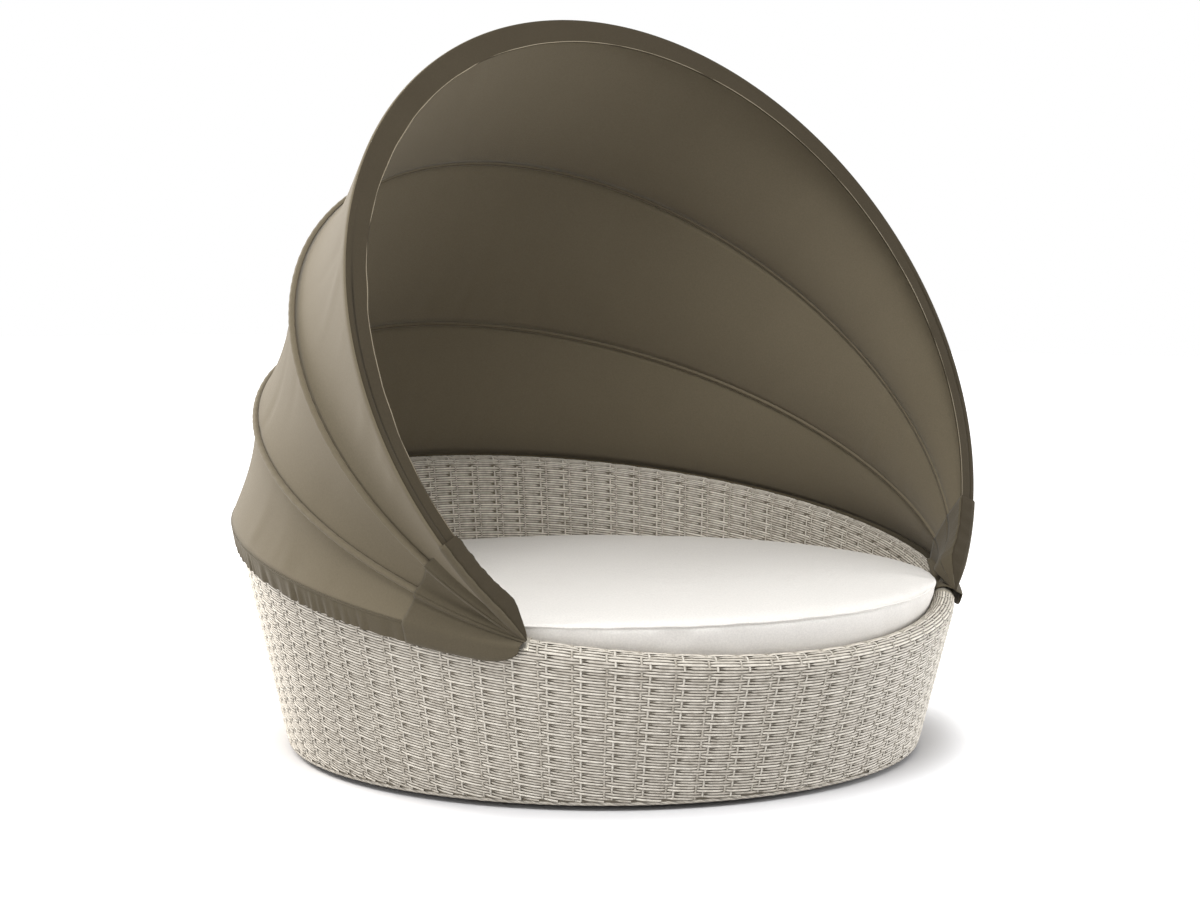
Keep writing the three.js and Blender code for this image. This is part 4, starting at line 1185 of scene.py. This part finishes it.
def gather(t):
    """How strongly the cloth is gathered: uneven all round, and more at the left."""
    push = 0.55 + 0.45 * np.sin(t * 3.1 + 0.6) * np.sin(t * 1.3 + 1.0)
    left = np.clip((t - math.pi / 2) / (math.pi / 2), -0.4, 1)
    return np.clip(push * (0.8 + 0.5 * left), 0.15, 1.3)


turns = hem_t * HEM_PUCKERS + 2.5 * np.sin(hem_t * 11) + 1.2 * np.sin(hem_t * 29)
pucker = np.abs(np.sin(turns)) ** 0.8 - 0.5
small = SMALL_SHARE * np.sin(hem_t * SMALL_PUCKERS + 4 * np.sin(hem_t * 17))
ripple = (pucker + small) * gather(hem_t) * end_share(hem_t)
columns = []
for share in hem_shares:
    depth = GATHER_DEPTH * (1 - share) ** 0.7 if share < SEWN_SHARE else 0.0
    groove = -GROOVE_DEPTH * math.exp(-((share - GROOVE_SHARE) / GROOVE_REACH) ** 2)
    columns.append(hem_point(hem_t, share, HEM_CLOTH_OFF + depth * ripple + groove))
grid = np.stack(columns, 1)
hem = grid_piece("hem_cloth", grid)
# The hem takes the darker band finish, which is painted shade
dress(hem, canvas_band_shade, "drum", "hem_band")
thicken(hem, BAND_CLOTH)
print("hem cut", [round(v, 3) for v in flat_size(grid)])

# %% [markdown]
# ## Gusset patches
# Where the three bows come together, a doubled patch covers the hinges. Its outer layer runs from the hem
# over the sleeves and round the front edge, where it turns in as a flap, and its lining covers the sleeves
# from the inside. As a layer crosses three joints, it is made of three strips that meet on the sleeves. The
# flap touches only the front bow, so it rides on that alone.

# %% Gusset measures
GUSSET_START = 0.0005
GUSSET_REACH = 0.215
GUSSET_ROWS = 40
GUSSET_COLUMNS = 15
HINGE_ROOM = 0.030
HINGE_PLACE = 0.070
HINGE_WIDTH = 0.047
TIP_LENGTH = 0.055
OVER_LINING = 0.003
OVER_PANEL = 0.0026
OVER_SLEEVE = 0.0012
SLEEVE_REACH = 0.0125
OVER_HEM = 0.0040
OVER_SEAM = 0.0014
FLAP_OVER_BAND = 1.04
FLAP_LIFT = 0.0138
FLAP_EDGE_LIFT = 0.0112
FLAP_SINK = 0.002
CRINKLE = 0.0012
CRINKLES = 260
LONG_CRINKLES = 95
FLAP_CRINKLES = 190
CRINKLE_START = 0.05
GUSSET_CLOTH = 0.0018
LINING_STEPS = 8
# Inset and lift of the two lines where the outer layer turns in round the front edge
TURN_IN = ((-0.0012, 0.0040), (0.0002, 0.0095))
# For the lining's lines over the roll, the share of its reach and how far it stands off
OVER_ROLL = ((1, 0.0070), (0.67, 0.0085), (0.33, 0.0100), (0, 0.0120))
ROLL_PLACE = 0.44
ROLL_REACH = 0.36
ROLL_TAPER = 0.28
gusset_phi = np.linspace(phi_at(GUSSET_START), phi_at(GUSSET_REACH), GUSSET_ROWS)
gusset_shares = np.linspace(0, 1, GUSSET_COLUMNS)
gusset_reach = reach_of(gusset_phi)
close_tip = np.clip(gusset_reach / TIP_LENGTH, 0, 1) ** 0.7
past_hinge = np.clip((gusset_reach - HINGE_PLACE) / (GUSSET_REACH - HINGE_PLACE), 0, 1)
lining_inset = (SLEEVE_INSET + SLEEVE_RADIUS + OVER_LINING + HINGE_ROOM * (1 - past_hinge) ** 2) * close_tip
flap_width = HINGE_WIDTH * (1 - past_hinge) + facing_width(gusset_phi) * FLAP_OVER_BAND * past_hinge
crinkle = np.sin(gusset_reach * CRINKLES) * np.sin(gusset_reach * LONG_CRINKLES + 1)
crinkle *= np.clip(gusset_reach / CRINKLE_START, 0, 1)
flap_width = (flap_width + CRINKLE * crinkle) * close_tip
flap_lift = (FLAP_LIFT + CRINKLE * np.cos(gusset_reach * FLAP_CRINKLES)) * close_tip
print("gussets reach", GUSSET_REACH, "m up the bows")

# %% Gusset strips
def over_sleeve(distance):
    return np.exp(-(distance / SLEEVE_REACH) ** 4)


def patch_strip(name, low, high, low_sleeve=True):
    """The outer layer: on the panel between the bows, and drawn over their sleeves."""
    width = np.linalg.norm(high - low, axis=-1)[:, None]
    share = gusset_shares[None]
    rise = over_sleeve(width * (1 - share))
    if low_sleeve:
        rise = np.maximum(rise, over_sleeve(width * share))
    inset = hollow(name, width, share) - OVER_PANEL - (PANEL_INSET - OVER_PANEL + OVER_SLEEVE) * rise
    return between(low, high, share) + inward_at(name, gusset_phi)[:, None] * inset[..., None]


def lining_strip(low, high):
    return between(low, high, np.linspace(0, 1, LINING_STEPS)[None])


print("lining strips of", LINING_STEPS, "lines")

# %% Gusset layers
ends = {name: bow_point(name, gusset_phi, PANEL_INSET) for name in BOW_TURN}
hem_part = np.stack([hem_point(gusset_phi, share, OVER_HEM) for share in (0.0, 0.25, 0.5, 0.75, 0.95)], 1)
rear = patch_strip("rear", hem_point(gusset_phi, 1.0, OVER_SEAM), ends["rear"], False)
rear = np.concatenate([hem_part, rear[:, 1:]], 1)
middle = patch_strip("middle", ends["rear"], ends["middle"])
front = patch_strip("front", ends["middle"], ends["front"])
turned = [(inset, lift * close_tip) for inset, lift in TURN_IN] + [(0.12 * flap_width, 0.93 * flap_lift)]
turned += [(flap_width * share, flap_lift - FLAP_SINK * share) for share in (0.3, 0.5, 0.7, 0.9, 1.0)]
turned = np.stack([bow_point("front", gusset_phi, inset, lift) for inset, lift in turned], 1)
front = np.concatenate([front, turned[:, :3]], 1)

inner = {name: bow_point(name, gusset_phi, lining_inset) for name in BOW_TURN}
over_roll = []
for share, lift in OVER_ROLL:
    place = ROLL_PLACE + (ROLL_REACH - ROLL_TAPER * past_hinge) * share
    over_roll.append(roll_surface(gusset_phi, place, lift + 0 * gusset_phi))
over_roll = np.stack(over_roll, 1)
lining_rear = np.concatenate([over_roll, lining_strip(over_roll[:, -1], inner["rear"])[:, 1:]], 1)
flap_edge = bow_point("front", gusset_phi, flap_width, FLAP_EDGE_LIFT * close_tip)
print("outer strips", rear.shape[:2], middle.shape[:2], front.shape[:2])

# %% Gussets
# Each layer's points, its two bodies and the columns where it is sewn to them
layers = [
    ("rear_cloth", rear, ("drum", "rear_bow"), 4, -1),
    ("middle_cloth", middle, ("rear_bow", "middle_bow"), 0, -1),
    ("front_cloth", front, ("middle_bow", "front_bow"), 0, GUSSET_COLUMNS - 1),
    ("rear_lining", lining_rear, ("drum", "rear_bow"), 3, -1),
    ("middle_lining", lining_strip(inner["rear"], inner["middle"]), ("rear_bow", "middle_bow"), 0, -1),
    ("front_lining", lining_strip(inner["middle"], flap_edge), ("middle_bow", "front_bow"), 0, -1),
]
# The layers take the darker band finish and the flaps the dark facing finish, both painted shade
for side, hand in ((1, "right"), (-1, "left")):
    mirror = np.array([side, 1, 1])
    for label, points, bodies, first, last in layers:
        grid = points * mirror
        patch = blended_sheet(f"gusset_{hand}_{label}", grid, GUSSET_CLOTH)
        patch.data.materials.append(canvas_band_shade)
        if label.endswith("cloth"):
            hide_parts("gusset_" + hand)
    grid = turned[:, 2:] * mirror
    flap = grid_piece(f"gusset_{hand}_flap", grid)
    dress(flap, canvas_facing_shade, "front_bow")
    thicken(flap, BAND_CLOTH)
print("gusset flap", [round(v, 3) for v in flat_size(grid)])

# %% [markdown]
# ## Floor and light
# Furniture on white is lit with large soft sources. A broad one at the back left rakes over the outside of
# the canopy, a weak one at the left opens its shadows, one at the right fills the basket, one overhead
# gives the mattress its even top, and the world adds an even base level. The floor is pale and keeps the
# shadow. What the camera sees directly of floor and background is lifted to white, and that lift gives no
# light to the object. The lift fades in only past the drum's base, so a ring of floor round the base stays
# darker: a painted shadow.

# %% Lights
def area_light(name, place, target, size, energy, colour=(1, 1, 1)):
    lamp = bpy.data.lights.new(name, "AREA")
    lamp.shape = "RECTANGLE"
    lamp.size, lamp.size_y = size
    lamp.energy = energy
    lamp.color = colour
    holder = bpy.data.objects.new(name, lamp)
    holder.location = place
    holder.rotation_euler = (Vector(target) - Vector(place)).to_track_quat("-Z", "Y").to_euler()
    bpy.context.collection.objects.link(holder)


area_light("left_back", (-1.8, 4.0, 2.6), (-0.6, 0.2, 0.8), (1.8, 1.8), 255, (1.0, 0.945, 0.87))
area_light("left", (-4.0, -0.6, 1.0), (-0.3, 0.0, 0.3), (2.0, 1.2), 15)
area_light("right", (3.5, -2.0, 0.66), (0.2, -0.1, 0.22), (2.2, 1.1), 74)
area_light("front_top", (-1.7, -1.9, 4.2), (-0.15, 0.0, 0.45), (2.4, 1.8), 152)

# %% Floor
# Between these distances from the middle the lift fades in, so the floor there stays darker: painted shadow
# round the base
PAINTED_SHADOW_START = 0.78
ALL_WHITE = 1.06
FLOOR_LIFT = 0.9


def seen_directly(tree):
    """1 for what the camera sees itself or in a reflection, 0 for light that falls on the object."""
    rays = add_node(tree, "LightPath").outputs
    return calculate(tree, "MAXIMUM", rays["Is Camera Ray"], rays["Is Glossy Ray"])


floor = mesh_piece("floor", [(-30, -30, 0), (30, -30, 0), (30, 60, 0), (-30, 60, 0)], [(0, 1, 2, 3)], False)
floor_material, tree, shader = new_material("Studio floor", Roughness=0.9)
tone = use_group(tree, patches, Light=(0.75, 0.75, 0.765, 1), Dark=(0.73, 0.73, 0.745, 1), Scale=1.5,
                 Contrast=0.6)
finish_material(tree, shader, tone["Colour"])
seen = seen_directly(tree)
place_on = add_node(tree, "TexCoord").outputs["Object"]
away = add_node(tree, "VectorMath", {0: place_on}, operation="LENGTH").outputs["Value"]
# The lift is 0 near the drum and full far off; the ramp between leaves a ring of painted shadow
far = add_node(tree, "MapRange", {"Value": away, "From Min": PAINTED_SHADOW_START, "From Max": ALL_WHITE,
                                  "To Max": FLOOR_LIFT}, interpolation_type="SMOOTHSTEP").outputs["Result"]
lift = add_node(tree, "Emission", {"Strength": calculate(tree, "MULTIPLY", seen, far)})
both = add_node(tree, "AddShader", {0: shader.outputs[0], 1: lift.outputs[0]})
tree.links.new(both.outputs[0], tree.nodes["Material Output"].inputs["Surface"])
floor.data.materials.append(floor_material)
print("floor turns white between", PAINTED_SHADOW_START, "and", ALL_WHITE, "m from the middle")

# %% World
WORLD_LEVEL = 0.62
world = bpy.data.worlds.new("studio")
bpy.context.scene.world = world
world.use_nodes = True
tree = world.node_tree
level = calculate(tree, "MULTIPLY_ADD", seen_directly(tree), 1 - WORLD_LEVEL, WORLD_LEVEL)
tree.links.new(level, tree.nodes["Background"].inputs["Strength"])
tree.nodes["Background"].inputs["Color"].default_value = (1, 1, 1, 1)
bpy.context.scene.view_settings.view_transform = "Standard"
print("world lights with", WORLD_LEVEL)
